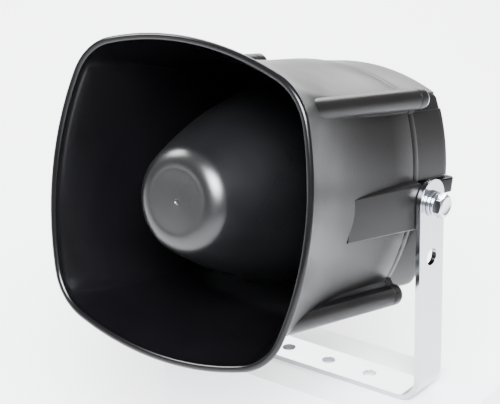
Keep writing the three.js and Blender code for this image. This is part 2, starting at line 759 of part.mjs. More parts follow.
const FLANGE_FRONT_Y = SEAM_Y + GAP;
const FLANGE_INSET = 0.8;
const REBATE_INSET = 1.7; // the seal lies in a rebate inside the flange's front lip
const REBATE_DEPTH = 0.8;
const OPENING_RADIUS = 37.6;
const BOWL = { ...inset(SEAM, FLANGE_INSET), corner: BOWL_CORNER };

/** A solid whose section stays constant and rounds off towards its rear end. */
function roundedEnd(section, y0, y1, edge, steps = 4) {
  const rings = [sectionRing(section, y0)];
  for (let i = 0; i <= steps; i += 1) {
    const angle = (Math.PI / 2) * (i / steps);
    rings.push(sectionRing(inset(section, edge * (1 - Math.cos(angle))), y1 - edge + edge * Math.sin(angle)));
  }
  return loft(rings);
}

/** The shelf's outline seen from above: straight sides and rounded rear corners. */
function shelfOutline(halfWidth, rearY, corner) {
  const shape = new THREE.Shape();
  shape.moveTo(-halfWidth, FLANGE_FRONT_Y + 1);
  shape.lineTo(halfWidth, FLANGE_FRONT_Y + 1);
  shape.lineTo(halfWidth, rearY - corner);
  shape.absarc(halfWidth - corner, rearY - corner, corner, 0, Math.PI / 2, false);
  shape.lineTo(-halfWidth + corner, rearY);
  shape.absarc(-halfWidth + corner, rearY - corner, corner, Math.PI / 2, Math.PI, false);
  shape.closePath();
  return shape;
}

function slab(shape, z0, z1, segments = 6) {
  return solid(extrude(shape, z1 - z0, segments).translate(0, 0, z0));
}

const POST_X = 30; // screw posts for the hood
const POST_Z = 40.5;
const BLOCK_ROOT_X = 40.5;

/** The pivot blocks at the flange's sides, with the bores of their inserts. */
function pivotBlocks() {
  const blocks = [];
  const bores = [];
  for (const [, side] of SIDES) {
    const [x0, x1] = side > 0 ? [BLOCK_ROOT_X, BLOCK_FACE_X] : [-BLOCK_FACE_X, -BLOCK_ROOT_X];
    blocks.push(box(x0, x1, FLANGE_FRONT_Y, BLOCK_REAR_Y, PAD_BOTTOM, SHELF_TOP));
    const end = BLOCK_FACE_X - INSERT_LENGTH - 1;
    bores.push(rodX(INSERT_RADIUS + 0.1, side > 0 ? end : -60, side > 0 ? 60 : -end, 0, 0, 24));
  }
  return { blocks, bores };
}

/** The flange on the bell's rear end: a rebate for the seal, and four lugs in line with the tubes. */
function makeFlange(blocks) {
  const section = inset(SEAM, FLANGE_INSET);
  const plate = loft([sectionRing(section, FLANGE_FRONT_Y), sectionRing(section, FLANGE_REAR_Y)]);
  const pocket = inset(SEAM, REBATE_INSET);
  const floorY = FLANGE_FRONT_Y + REBATE_DEPTH;
  const rebate = loft([sectionRing(pocket, FLANGE_FRONT_Y - 1), sectionRing(pocket, floorY)]);
  const lugs = CORNERS.map(([, sx, sz]) => cornerTube(FLANGE_FRONT_Y, FLANGE_REAR_Y, sx, sz));
  const kept = CORNERS.map(([, sx, sz]) => rodY(TUBE_RADIUS + 0.2, -20, 20, sx * TUBE_X, sz * TUBE_Z, 20));
  return cut(unite(plate, ...lugs, ...blocks), cut(rebate, ...kept));
}

function makeRearHousing() {
  const below = box(-80, 80, -80, 80, -80, SHELF_BOTTOM + 1);
  const bowlOutside = roundedEnd(BOWL, FLANGE_REAR_Y - 1, BOWL_REAR_Y, BOWL_EDGE).intersect(below);
  const bowlRoom = roundedEnd(
    inset(BOWL, REAR_WALL), FLANGE_REAR_Y, BOWL_REAR_Y - REAR_WALL, BOWL_EDGE - REAR_WALL,
  ).intersect(box(-80, 80, FLANGE_REAR_Y, 80, -80, SHELF_BOTTOM));
  const shelf = slab(shelfOutline(SHELF_HALF, SHELF_REAR_Y, 5), SHELF_BOTTOM, SHELF_TOP);
  const hollow = slab(shelfOutline(SHELF_HALF - 10, SHELF_REAR_Y - 6.5, 8), SHELF_BOTTOM - 3, SHELF_TOP + 1);
  const shell = cut(unite(bowlOutside, shelf), bowlRoom, hollow);
  const { blocks, bores } = pivotBlocks();
  const screwHoles = [];
  for (const [, sx, sz] of CORNERS) {
    screwHoles.push(rodY(SCREW_RADIUS + 0.2, -20, FLANGE_REAR_Y + 1, sx * TUBE_X, sz * TUBE_Z, 12));
    screwHoles.push(rodY(SEAT_RADIUS, FLANGE_REAR_Y, SEAT_END_Y, sx * TUBE_X, sz * TUBE_Z, 20));
  }
  const posts = [];
  for (const [, side] of SIDES) {
    posts.push(rodY(3.4, FLANGE_REAR_Y - 1, HOOD_REAR_Y - REAR_WALL - GAP, side * POST_X, POST_Z, 16));
    screwHoles.push(rodY(1.5, HOOD_REAR_Y - 16, HOOD_REAR_Y, side * POST_X, POST_Z, 16));
  }
  const opening = rodY(OPENING_RADIUS, FLANGE_FRONT_Y - 1, FLANGE_REAR_Y + 1, 0, 0, 40);
  return cut(unite(shell, makeFlange(blocks), ...posts), opening, ...bores, ...screwHoles);
}

/** The flat seal between the bell's rear rim and the housing's flange. */
function makeSeamGasket() {
  const y0 = SEAM_Y + 0.1;
  const y1 = FLANGE_FRONT_Y + REBATE_DEPTH - 0.1;
  const outer = inset(SEAM, REBATE_INSET + 0.2);
  const inner = inset(SEAM, BELL_WALL + 1.5);
  const profile = [[outer, y0], [outer, y1], [inner, y1], [inner, y0]];
  const ring = loft(profile.map(([section, y]) => sectionRing(section, y)), true);
  const room = TUBE_RADIUS + 0.4;
  return cut(ring, ...CORNERS.map(([, sx, sz]) => rodY(room, -20, 20, sx * TUBE_X, sz * TUBE_Z, 20)));
}

// ---------------------------------------------------------------------------------------------
// Pivot hardware: M6 bolts in brass inserts, each with a flat and a spring washer
// ---------------------------------------------------------------------------------------------

function hexPrismX(acrossFlats, x0, x1) {
  const radius = acrossFlats / Math.sqrt(3);
  const prism = new THREE.CylinderGeometry(radius, radius, x1 - x0, 6);
  // flats to front and rear, corners at top and bottom
  return solid(prism.rotateY(Math.PI / 6).rotateZ(Math.PI / 2).translate((x0 + x1) / 2, 0, 0));
}

/** Turn a profile of [radius, x] points about the X axis. */
function revolveX(profile, segments = 24) {
  const points = profile.map(([r, h]) => new THREE.Vector2(r, h));
  const onAxis = points[0].x === 0 && points[points.length - 1].x === 0;
  if (!onAxis) points.push(points[0].clone());
  return solid(new THREE.LatheGeometry(points, segments).rotateZ(-Math.PI / 2));
}

function mirrorTo(side, body) {
  return side > 0 ? body : body.mirror([1, 0, 0]);
}

function makePivotBolt() {
  const end = BOLT_SEAT_X + HEX_HEIGHT;
  const half = HEX_FLATS / 2;
  const head = hexPrismX(HEX_FLATS, BOLT_SEAT_X, end);
  const chamfer = revolveX([
    [0, BOLT_SEAT_X - 1], [half + 1, BOLT_SEAT_X - 1], [half + 1, end - 0.9], [half - 0.6, end], [0, end],
  ], 30);
  const dish = rodX(half - 1.6, end - 0.4, end + 1, 0, 0, 24);
  const shank = rodX(BOLT_RADIUS, BOLT_SEAT_X - BOLT_LENGTH, BOLT_SEAT_X + 1, 0, 0, 20);
  return unite(cut(head.intersect(chamfer), dish), shank);
}

function washerX(inner, outer, x0, x1) {
  return revolveX([[inner, x0], [inner, x1], [outer, x1], [outer, x0]], 28);
}

function makeSpringWasher() {
  const ring = washerX(BOLT_RADIUS + 0.2, SPRING_RADIUS, SPRING_X, SPRING_X + SPRING_THICK);
  const slit = new THREE.BoxGeometry(6, 6, 0.9).rotateY(0.5).translate(SPRING_X + SPRING_THICK / 2, 5, 0);
  return cut(ring, solid(slit));
}

/** A brass insert with a groove round its middle, set just below the block's face. */
function makePivotInsert() {
  const bore = BOLT_RADIUS + 0.05;
  const groove = INSERT_RADIUS - 0.7;
  const x1 = BLOCK_FACE_X - 0.5;
  const x0 = x1 - INSERT_LENGTH;
  return revolveX([
    [bore, x0], [bore, x1], [INSERT_RADIUS, x1], [INSERT_RADIUS, x1 - 4.5],
    [groove, x1 - 5.2], [groove, x1 - 6.8], [INSERT_RADIUS, x1 - 7.5], [INSERT_RADIUS, x0],
  ], 24);
}

part(horn, 'rear_housing', makeRearHousing(), glossPlastic);
part(horn, 'seam_gasket', makeSeamGasket(), rubber);
for (const [name, side] of SIDES) {
  const washer = washerX(BOLT_RADIUS + 0.25, WASHER_RADIUS, WASHER_X, WASHER_X + WASHER_THICK);
  part(horn, `pivot_bolt_${name}`, mirrorTo(side, makePivotBolt()), brightSteel);
  part(horn, `pivot_washer_${name}`, mirrorTo(side, washer), zincSteel);
  part(horn, `pivot_spring_washer_${name}`, mirrorTo(side, makeSpringWasher()), zincSteel);
  part(horn, `pivot_insert_${name}`, mirrorTo(side, makePivotInsert()), brass);
}

// ---------------------------------------------------------------------------------------------
// Corner screws
// ---------------------------------------------------------------------------------------------

for (const [name, sx, sz] of CORNERS) {
  const x = sx * TUBE_X;
  const z = sz * TUBE_Z;
  const y0 = FLANGE_REAR_Y + 0.1;
  const y1 = y0 + 0.8;
  const seat = y1 + 0.1;
  const washer = revolve([[2.15, y0], [2.15, y1], [4.8, y1], [4.8, y0]], 20, x, z);
  const screw = screwY(SCREW_RADIUS, seat - SCREW_TIP_Y, 3.6, 1.8, seat, x, z, 1);
  part(horn, `corner_washer_${name}`, washer, zincSteel);
  part(horn, `corner_screw_${name}`, screw, zincSteel);
}

// ---------------------------------------------------------------------------------------------
// Hood
// ---------------------------------------------------------------------------------------------

/** The hood's section: the seam's section with its roof lowered as it runs back. */
function hoodSection(y, amount) {
  const along = (y - HOOD_FRONT_Y) / (HOOD_REAR_Y - HOOD_FRONT_Y);
  const section = inset(SEAM, HOOD_INSET + amount, 3);
  section.halfHeight -= HOOD_SLOPE * along;
  section.halfWidth -= HOOD_TAPER * along;
  return section;
}

function hoodBody(amount, y0, y1, edge) {
  const rings = [];
  const straight = 2;
  for (let i = 0; i < straight; i += 1) {
    const y = y0 + ((y1 - edge - y0) * i) / straight;
    rings.push(sectionRing(hoodSection(y, amount), y));
  }
  const steps = 3;
  for (let i = 0; i <= steps; i += 1) {
    const angle = (Math.PI / 2) * (i / steps);
    const y = y1 - edge + edge * Math.sin(angle);
    rings.push(sectionRing(hoodSection(y, amount + edge * (1 - Math.cos(angle))), y));
  }
  return loft(rings);
}

function makeHood() {
  const outside = hoodBody(0, HOOD_FRONT_Y, HOOD_REAR_Y, HOOD_EDGE);
  const inside = hoodBody(REAR_WALL, HOOD_FRONT_Y - 5, HOOD_REAR_Y - REAR_WALL, 0.8);
  const recessFloor = hoodBody(RECESS_DEPTH, HOOD_FRONT_Y - 5, HOOD_REAR_Y + 1, HOOD_EDGE);
  const above = box(-80, 80, -80, 80, HOOD_BOTTOM, 80);
  const removed = [];
  for (const [, side] of SIDES) {
    const [x0, x1] = side > 0 ? [RECESS_X, 80] : [-80, -RECESS_X];
    removed.push(cut(box(x0, x1, -30, 60, RECESS_Z, 80), recessFloor));
    removed.push(rodY(SEAT_RADIUS, -30, SEAT_END_Y, side * TUBE_X, TUBE_Z, 20));
    removed.push(rodY(1.8, HOOD_REAR_Y - 5, HOOD_REAR_Y + 2, side * POST_X, POST_Z, 12));
  }
  removed.push(rodY(GLAND_THREAD + 0.2, HOOD_REAR_Y - 5, HOOD_REAR_Y + 2, 0, GLAND_Z, 20));
  return cut(outside.intersect(above), inside, ...removed);
}

/** The flat seal between hood and shelf, a U that follows the hood's walls. */
function makeHoodGasket() {
  const half = SEAM.halfWidth - HOOD_INSET - HOOD_TAPER - 0.6;
  const outer = slab(shelfOutline(half, HOOD_REAR_Y - 0.6, 3), SHELF_TOP + 0.1, HOOD_BOTTOM - 0.1, 4);
  const inner = slab(shelfOutline(half - 3.2, HOOD_REAR_Y - 3.8, 2), SHELF_TOP - 1, HOOD_BOTTOM + 1, 4);
  return cut(outer, inner).intersect(box(-80, 80, HOOD_FRONT_Y, 80, -80, 80));
}

part(horn, 'hood', makeHood(), satinPlastic);
part(horn, 'hood_gasket', makeHoodGasket(), rubber);
for (const [name, side] of SIDES) {
  const screw = screwY(1.4, 12, 3, 2, HOOD_REAR_Y + 0.15, side * POST_X, POST_Z, 1);
  part(horn, `hood_screw_${name}`, screw, zincSteel);
}

// ---------------------------------------------------------------------------------------------
// Wiring: terminal block, lead wires to the coil, cable gland
// ---------------------------------------------------------------------------------------------

const BLOCK_FRONT_Y = FLANGE_REAR_Y + GAP;
const TERMINAL_X = 6;

function makeTerminalBlock() {
  const y1 = BLOCK_FRONT_Y + 10;
  const base = box(-14, 14, BLOCK_FRONT_Y, y1, 39, 46);
  const back = box(-14, 14, BLOCK_FRONT_Y, BLOCK_FRONT_Y + 2, 39, 48.5);
  const body = unite(base, back);
  const wells = [];
  for (const [, side] of SIDES) {
    wells.push(rodZ(2.6, 42, 60, side * TERMINAL_X, BLOCK_FRONT_Y + 6, 14));
    wells.push(rodY(1.3, BLOCK_FRONT_Y + 5, y1 + 1, side * TERMINAL_X, 41, 10));
  }
  return cut(body, ...wells);
}

function makeTerminalScrew(side) {
  const screw = revolve([[0, 42.2], [2.3, 42.2], [2.3, 44], [1.8, 44.4], [0, 44.4]], 14);
  const slot = solid(new THREE.BoxGeometry(5, 1, 0.7).translate(0, 44.3, 0));
  const upright = cut(screw, slot).rotate([90, 0, 0]);
  return upright.translate([side * TERMINAL_X, BLOCK_FRONT_Y + 6, 0]);
}

/** A thin wire along a smooth path, as a closed tube. */
function makeWire(points, radius) {
  const curve = new THREE.CatmullRomCurve3(points.map((p) => new THREE.Vector3(...p)));
  const steps = 12;
  const sides = 6;
  const frames = curve.computeFrenetFrames(steps, false);
  const positions = [];
  const triangles = [];
  for (let i = 0; i <= steps; i += 1) {
    const centre = curve.getPointAt(i / steps);
    for (let j = 0; j < sides; j += 1) {
      const angle = (2 * Math.PI * j) / sides;
      const offset = frames.normals[i].clone().multiplyScalar(radius * Math.cos(angle));
      offset.addScaledVector(frames.binormals[i], radius * Math.sin(angle));
      const p = centre.clone().add(offset);
      positions.push(p.x, p.y, p.z);
    }
  }
  for (let i = 0; i < steps; i += 1) {
    for (let j = 0; j < sides; j += 1) {
      const k = (j + 1) % sides;
      const [a, b, c, d] = [i * sides + j, i * sides + k, (i + 1) * sides + k, (i + 1) * sides + j];
      triangles.push(a, b, c, a, c, d);
    }
  }
  for (let j = 1; j < sides - 1; j += 1) {
    const last = steps * sides;
    triangles.push(0, j + 1, j, last, last + j, last + j + 1);
  }
  const geometry = new THREE.BufferGeometry();
  geometry.setAttribute('position', new THREE.Float32BufferAttribute(positions, 3));
  geometry.setIndex(triangles);
  return solid(geometry);
}

function leadPath(side) {
  const x = side * TERMINAL_X;
  const rear = BLOCK_FRONT_Y + 10;
  return [
    [x, rear - 3, 41], [x, rear + 1.5, 41], [x, rear + 2.6, 38.6],
    [x + side * 1, rear - 2, 37], [x + side * 2, FLANGE_REAR_Y + 1.4, 36.2],
    [x + side * 2, TOP_PLATE_FRONT + 1, 34],
  ];
}

function hexRingY(acrossFlats, inner, y0, y1) {
  const radius = acrossFlats / Math.sqrt(3);
  // flats at top and bottom
  const prism = new THREE.CylinderGeometry(radius, radius, y1 - y0, 6).rotateY(Math.PI / 6);
  return cut(solid(prism.translate(0, (y0 + y1) / 2, GLAND_Z)), rodY(inner, y0 - 1, y1 + 1, 0, GLAND_Z, 20));
}

const GLAND_BORE = 3.2;

function makeGlandBody() {
  const y0 = HOOD_REAR_Y - REAR_WALL - 5.2;
  const y1 = HOOD_REAR_Y + 0.2;
  const thread = rodY(GLAND_THREAD, y0, y1 + 1, 0, GLAND_Z, 20);
  const front = rodY(GLAND_THREAD, y1 + 2, y1 + 9, 0, GLAND_Z, 20);
  const collar = hexRingY(14, 1, y1, y1 + 4).add(rodY(2, y1, y1 + 4, 0, GLAND_Z, 12));
  const seat = rodY(4.2, y1 + 5, y1 + 10, 0, GLAND_Z, 20);
  return cut(unite(thread, front, collar), rodY(GLAND_BORE, y0 - 1, y1 + 10, 0, GLAND_Z, 20), seat);
}

function makeGlandCap() {
  const y0 = HOOD_REAR_Y + 4.5;
  const shape = [
    [GLAND_THREAD + 0.1, y0], [GLAND_THREAD + 0.1, y0 + 5.2],
    [GLAND_BORE, y0 + 6.4], [GLAND_BORE, y0 + 8.5],
    [5.4, y0 + 8.5], [6.9, y0 + 6.5], [6.9, y0],
  ];
  return revolve(shape, 20, 0, GLAND_Z);
}

function makeGlandSeal() {
  const y0 = HOOD_REAR_Y + 5.3;
  return revolve([[2.7, y0], [2.7, y0 + 4], [4.1, y0 + 4], [4.1, y0]], 20, 0, GLAND_Z);
}

part(horn, 'terminal_block', makeTerminalBlock(), terminalPlastic);
for (const [name, side] of SIDES) {
  part(horn, `terminal_screw_${name}`, makeTerminalScrew(side), brass);
  part(horn, `lead_wire_${name}`, makeWire(leadPath(side), 0.6), side > 0 ? wireRed : rubber);
}
part(horn, 'gland_body', makeGlandBody(), innerPlastic);
part(horn, 'gland_cap', makeGlandCap(), innerPlastic);
part(horn, 'gland_seal', makeGlandSeal(), rubber);
const NUT_REAR_Y = HOOD_REAR_Y - REAR_WALL - 0.2;
part(horn, 'gland_nut', hexRingY(14, GLAND_THREAD + 0.05, NUT_REAR_Y - 3.4, NUT_REAR_Y), innerPlastic);

export default loudspeaker;
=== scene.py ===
"""Looks for a re-entrant horn loudspeaker on a steel bracket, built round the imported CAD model.

Shapes are written in millimetres in the horn's own level frame (y = 0 is the pivot axis, z = 0 the
horn's axis, the mouth faces -y). HORN_PLACE puts them in the CAD model's frame, in metres.
"""

import json
import math

import bmesh
import bpy
from mathutils import Matrix, Vector


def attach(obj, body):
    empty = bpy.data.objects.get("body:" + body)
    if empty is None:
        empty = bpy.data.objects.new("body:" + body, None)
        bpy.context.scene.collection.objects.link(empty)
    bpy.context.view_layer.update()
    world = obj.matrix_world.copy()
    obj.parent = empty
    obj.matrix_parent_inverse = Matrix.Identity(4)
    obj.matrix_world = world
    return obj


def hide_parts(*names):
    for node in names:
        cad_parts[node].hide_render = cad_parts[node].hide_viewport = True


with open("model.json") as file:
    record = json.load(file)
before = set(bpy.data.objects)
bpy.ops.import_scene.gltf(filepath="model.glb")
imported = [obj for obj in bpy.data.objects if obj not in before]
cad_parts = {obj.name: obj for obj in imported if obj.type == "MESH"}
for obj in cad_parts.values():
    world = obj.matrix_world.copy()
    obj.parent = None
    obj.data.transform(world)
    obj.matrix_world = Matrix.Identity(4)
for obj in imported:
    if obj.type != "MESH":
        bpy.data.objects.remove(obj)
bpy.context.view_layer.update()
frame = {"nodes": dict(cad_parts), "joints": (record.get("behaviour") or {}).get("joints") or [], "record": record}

MM = 0.001
joints = {joint["name"]: joint for joint in frame["joints"]}
PIVOT = Vector(joints["tilt"]["pos_m"])
HORN_AXIS = Vector(joints["excursion"]["axis"])  # towards the mouth
TILT_UP = math.atan2(HORN_AXIS.z, -HORN_AXIS.y)
HORN_PLACE = Matrix.Translation(PIVOT) @ Matrix.Rotation(-TILT_UP, 4, "X") @ Matrix.Scale(MM, 4)
UPRIGHT_PLACE = Matrix.Scale(MM, 4)  # for shapes written along the CAD model's own axes

# ---------------------------------------------------------------------------------------------
# Driving dimensions, in millimetres, as in the CAD model
# ---------------------------------------------------------------------------------------------

BELL_WALL = 2.5
LIP_RADIUS = 1.6
LIP_BLEND = 1.8  # from the lip's round to where the flare's rings end
FLARE_POWER = 2.85
MOUTH = {"half_width": 69.5, "half_height": 69.5, "side": 143, "corner": 27.4}
SEAM = {"half_width": 51.2, "half_height": 55, "side": 98, "corner": 6}
MOUTH_Y = -114.6
SEAM_Y = -7.6
FLANGE_FRONT_Y = -7.3
FLANGE_REAR_Y = -1.8
FLANGE_INSET = 0.8
REBATE_INSET = 1.7
REBATE_DEPTH = 0.8

TUBE_X = 45.1
TUBE_Z = 45.7
TUBE_RADIUS = 5
TUBE_FRONT_Y = MOUTH_Y + 20
RIB_HALF = 3
RIB_DEPTH = 14
SCREW_TIP_Y = -34

PAD_FRONT_Y = -59
PAD_BOTTOM = -12.4
PAD_TOP_FRONT = 6.5
PAD_TOP_REAR = 9.3
BLOCK_FACE_X = 55.2
BLOCK_ROOT_X = 41
BLOCK_REAR_Y = 8

SHELF_BOTTOM = 1.3
SHELF_TOP = 8.3
SHELF_REAR_Y = 29.5
SHELF_HALF = 52.4
BOWL_REAR_Y = 29
BOWL_CORNER = 5
BOWL_EDGE = 7
REAR_WALL = 2.4
HOOD_BOTTOM = 9.2
HOOD_FRONT_Y = -1.5
HOOD_REAR_Y = 26
HOOD_INSET = 1.2
HOOD_SLOPE = 1.1
HOOD_TAPER = 0.7
HOOD_EDGE = 1.6
RECESS_DEPTH = 0.8
RECESS_X = 36.5
RECESS_Z = 38.7
POST_X = 30  # the hood screws' posts
POST_Z = 40.5
POST_RADIUS = 3.4
HOUSING_BORE = 37.6

WALL_FRONT_Y = -12.6
WALL_REAR_Y = -10.1
WALL_BORE = 14
NOSE_Y = -112.8
NOSE_FLAT = 13.8
NOSE_ROUND = 10.5
CUP_REAR_Y = -34
CUP_REAR_RADIUS = 46
CUP_POWER = 1.5
CUP_WALL = 2.2
NOSE_DISH = 0.7
NOSE_PIP = 1.3
STALK_CIRCLE = 38.4
STALK_RADIUS = 3.2
STALK_FRONT_Y = -56

BRACKET_HALF = 58
STRAP_THICK = 2.5
STRAP_WIDTH = 20
BEND_RADIUS = 12.5
ARM_TOP = 110.7
PIVOT_HEIGHT = PIVOT.z / MM
SPARE_HOLE_DROP = 26.5
SPARE_HOLE = 4
PIVOT_HOLE = 3.3
BASE_HOLE = 3.25
BASE_HOLE_SPACING = 24

HEX_FLATS = 10
HEX_HEIGHT = 4
BOLT_RADIUS = 2.95
BOLT_LENGTH = 18
WASHER_RADIUS = 6
WASHER_THICK = 1.5
SPRING_RADIUS = 5.6
SPRING_THICK = 1.5
WASHER_X = BRACKET_HALF + 0.1
SPRING_X = WASHER_X + WASHER_THICK + 0.1
BOLT_SEAT_X = SPRING_X + SPRING_THICK + 0.1

CORNER_SCREW = {"radius": 2, "head_radius": 3.6, "head_height": 1.8}
CORNER_WASHER_BORE = 2.15
CORNER_WASHER_RADIUS = 4.65
CORNER_WASHER_THICK = 0.8
HOOD_SCREW = {"radius": 1.4, "head_radius": 3, "head_height": 2}
HOOD_SCREW_LENGTH = 12
CROSS_HALF = 0.42  # half the width of a cross recess's slot

GLAND_Z = 41
GLAND_BORE = 3.2
GLAND_THREAD = 4.9
GLAND_FLATS = 14
CAP_RIBS = 18

SIDES = (("left", -1), ("right", 1))
CORNERS = (
    ("upper_left", -1, 1),
    ("upper_right", 1, 1),
    ("lower_left", -1, -1),
    ("lower_right", 1, -1),
)

# ---------------------------------------------------------------------------------------------
# Mesh helpers: a shape is (points, faces), and a piece is one object made of one or more shapes
# ---------------------------------------------------------------------------------------------


def ring_shape(rings, closed=False):
    """Skins rings with equal point counts, with a flat cap on each end or closed on itself."""
    size = len(rings[0])
    points = [p for ring in rings for p in ring]
    faces = []
    for i in range(len(rings) if closed else len(rings) - 1):
        here = i * size
        following = ((i + 1) % len(rings)) * size
        for j in range(size):
            k = (j + 1) % size
            faces.append((here + j, following + j, following + k, here + k))
    if not closed:
        last = (len(rings) - 1) * size
        faces.append(tuple(range(size)))
        faces.append(tuple(last + j for j in reversed(range(size))))
    return points, faces


def revolve(profile, segments=64, x=0.0, z=0.0):
    """Turns [radius, y] points about a line along y.

    The profile closes on itself, or starts and ends on the line.
    """
    on_axis = profile[0][0] == 0 and profile[-1][0] == 0
    inner = profile[1:-1] if on_axis else profile
    points = []
    for radius, y in inner:
        for j in range(segments):
            angle = 2 * math.pi * j / segments
            points.append((x + radius * math.cos(angle), y, z + radius * math.sin(angle)))
    faces = []
    spans = len(inner) - 1 if on_axis else len(inner)
    for i in range(spans):
        here = i * segments
        following = ((i + 1) % len(inner)) * segments
        for j in range(segments):
            k = (j + 1) % segments
            faces.append((here + j, following + j, following + k, here + k))
    if on_axis:
        first, last = len(points), len(points) + 1
        points += [(x, profile[0][1], z), (x, profile[-1][1], z)]
        end = (len(inner) - 1) * segments
        for j in range(segments):
            k = (j + 1) % segments
            faces.append((first, j, k))
            faces.append((last, end + k, end + j))
    return points, faces


def turned(shape, matrix):
    """A shape moved by a matrix."""
    points, faces = shape
    return [tuple(matrix @ Vector(p)) for p in points], faces


def arc(centre, radius, start, end, steps):
    """Points on an arc, angles in degrees."""
    points = []
    for i in range(steps + 1):
        angle = math.radians(start + (end - start) * i / steps)
        points.append((centre[0] + radius * math.cos(angle), centre[1] + radius * math.sin(angle)))
    return points


def offset_outline(outline, amount):
    """A closed counter-clockwise outline moved inwards by an amount, with mitred corners."""
    moved = []
    count = len(outline)
    for i in range(count):
        before = Vector(outline[i - 1])
        here = Vector(outline[i])
        after = Vector(outline[(i + 1) % count])
        first = (here - before).normalized()
        second = (after - here).normalized()
        normal = Vector((-first.y - second.y, first.x + second.x)).normalized()
        reach = max(normal.dot(Vector((-first.y, first.x))), 0.35)
        moved.append(tuple(here + normal * (amount / reach)))
    return moved


def plate(outline, low, high, edge, axis="z", steps=3):
    """An outline swept from low to high along an axis, with rounded edges."""
    levels = []
    for i in range(steps + 1):
        angle = math.pi / 2 * i / steps
        levels.append((edge * (1 - math.sin(angle)), low + edge * (1 - math.cos(angle))))
    for i in range(steps + 1):
        angle = math.pi / 2 * (1 - i / steps)
        levels.append((edge * (1 - math.sin(angle)), high - edge * (1 - math.cos(angle))))
    rings = []
    for amount, level in levels:
        flat = offset_outline(outline, amount)
        if axis == "z":
            rings.append([(a, b, level) for a, b in flat])
        elif axis == "x":
            rings.append([(level, a, b) for a, b in flat])
        else:
            rings.append([(b, level, a) for a, b in flat])
    return ring_shape(rings)


def rounded_rectangle(a0, a1, b0, b1, radius, steps=4):
    outline = []
    for centre, start in (
        ((a1 - radius, b0 + radius), -90),
        ((a1 - radius, b1 - radius), 0),
        ((a0 + radius, b1 - radius), 90),
        ((a0 + radius, b0 + radius), 180),
    ):
        outline += arc(centre, radius, start, start + 90, steps)
    return outline


def piece(name, shapes, place=HORN_PLACE, smooth_angle=35):
    """One object from several closed shapes, put in its place in the CAD model's frame."""
    mesh = bpy.data.meshes.new(name)
    points = []
    faces = []
    for shape_points, shape_faces in shapes:
        start = len(points)
        points += shape_points
        faces += [tuple(start + k for k in face) for face in shape_faces]
    mesh.from_pydata([tuple(place @ Vector(p)) for p in points], [], faces)
    mesh.validate()
    body = bmesh.new()
    body.from_mesh(mesh)
    bmesh.ops.remove_doubles(body, verts=body.verts, dist=1e-7)
    bmesh.ops.recalc_face_normals(body, faces=body.faces)
    body.to_mesh(mesh)
    body.free()
    mesh.shade_smooth()
    mesh.set_sharp_from_angle(angle=math.radians(smooth_angle))
    obj = bpy.data.objects.new(name, mesh)
    bpy.context.scene.collection.objects.link(obj)
    return obj


def combine(target, tool, operation):
    """Joins or cuts one object with another, then deletes the tool."""
    modifier = target.modifiers.new("combine", "BOOLEAN")
    modifier.operation = operation
    modifier.solver = "EXACT"
    modifier.object = tool
    evaluated = target.evaluated_get(bpy.context.evaluated_depsgraph_get())
    mesh = bpy.data.meshes.new_from_object(evaluated)
    target.modifiers.clear()
    target.data = mesh
    bpy.data.objects.remove(tool)
    mesh.shade_smooth()
    mesh.set_sharp_from_angle(angle=math.radians(35))


def bevel(obj, width, segments=3, angle=40):
    modifier = obj.modifiers.new("edges", "BEVEL")
    modifier.width = width * MM
    modifier.segments = segments
    modifier.limit_method = "ANGLE"
    modifier.angle_limit = math.radians(angle)
    modifier.harden_normals = True


# ---------------------------------------------------------------------------------------------
# The horn's rounded-square section
# ---------------------------------------------------------------------------------------------


def inset(section, amount, least_corner=2):
    return {
        "half_width": section["half_width"] - amount,
        "half_height": section["half_height"] - amount,
        "side": section["side"] - amount,
        "corner": max(section["corner"] - amount, least_corner),
    }


def bell_section(y):
    """The bell's outer section at y, from the seam to the mouth."""
    along = min(max((SEAM_Y - y) / (SEAM_Y - MOUTH_Y), 0), 1)
    opened = along**FLARE_POWER
    return {key: SEAM[key] + (MOUTH[key] - SEAM[key]) * opened for key in SEAM}


def corner_centre(section):
    """Centre of the corner arc that touches the side arc and the top arc from inside."""
    a = section["side"] - section["half_width"]
    b = section["side"] - section["half_height"]
    reach = section["side"] - section["corner"]
    slope = b / a
    shift = (b * b - a * a) / (2 * a)
    qa = slope * slope + 1
    qb = 2 * slope * (shift + a)
    qc = (shift + a) ** 2 - reach * reach
    z = (-qb + math.sqrt(qb * qb - 4 * qa * qc)) / (2 * qa)
    return slope * z + shift, z


def section_quarter(section, side_steps=14, corner_steps=14):
    """One quarter of the section: right side arc, corner arc, top arc."""
    side = section["side"]
    back = section["half_width"] - side
    down = section["half_height"] - side
    cx, cz = corner_centre(section)
    side_end = math.degrees(math.atan2(cz, cx - back))
    top_start = math.degrees(math.atan2(cz - down, cx))
    points = arc((back, 0), side, 0, side_end, side_steps)[:-1]
    points += arc((cx, cz), section["corner"], side_end, top_start, corner_steps)
    points += arc((0, down), side, top_start, 90, side_steps)[1:]
    return points


def section_ring(section, y, **steps):
    quarter = section_quarter(section, **steps)
    back = quarter[1:-1][::-1]
    outline = list(quarter)
    outline += [(-x, z) for x, z in back]
    outline += [(-x, -z) for x, z in quarter]
    outline += [(x, -z) for x, z in back]
    return [(x, y, z) for x, z in outline]


def circle_ring(ring, radius, y):
    """The same number of points pulled to a circle."""
    pulled = []
    for x, _, z in ring:
        scale = radius / math.hypot(x, z)
        pulled.append((x * scale, y, z * scale))
    return pulled


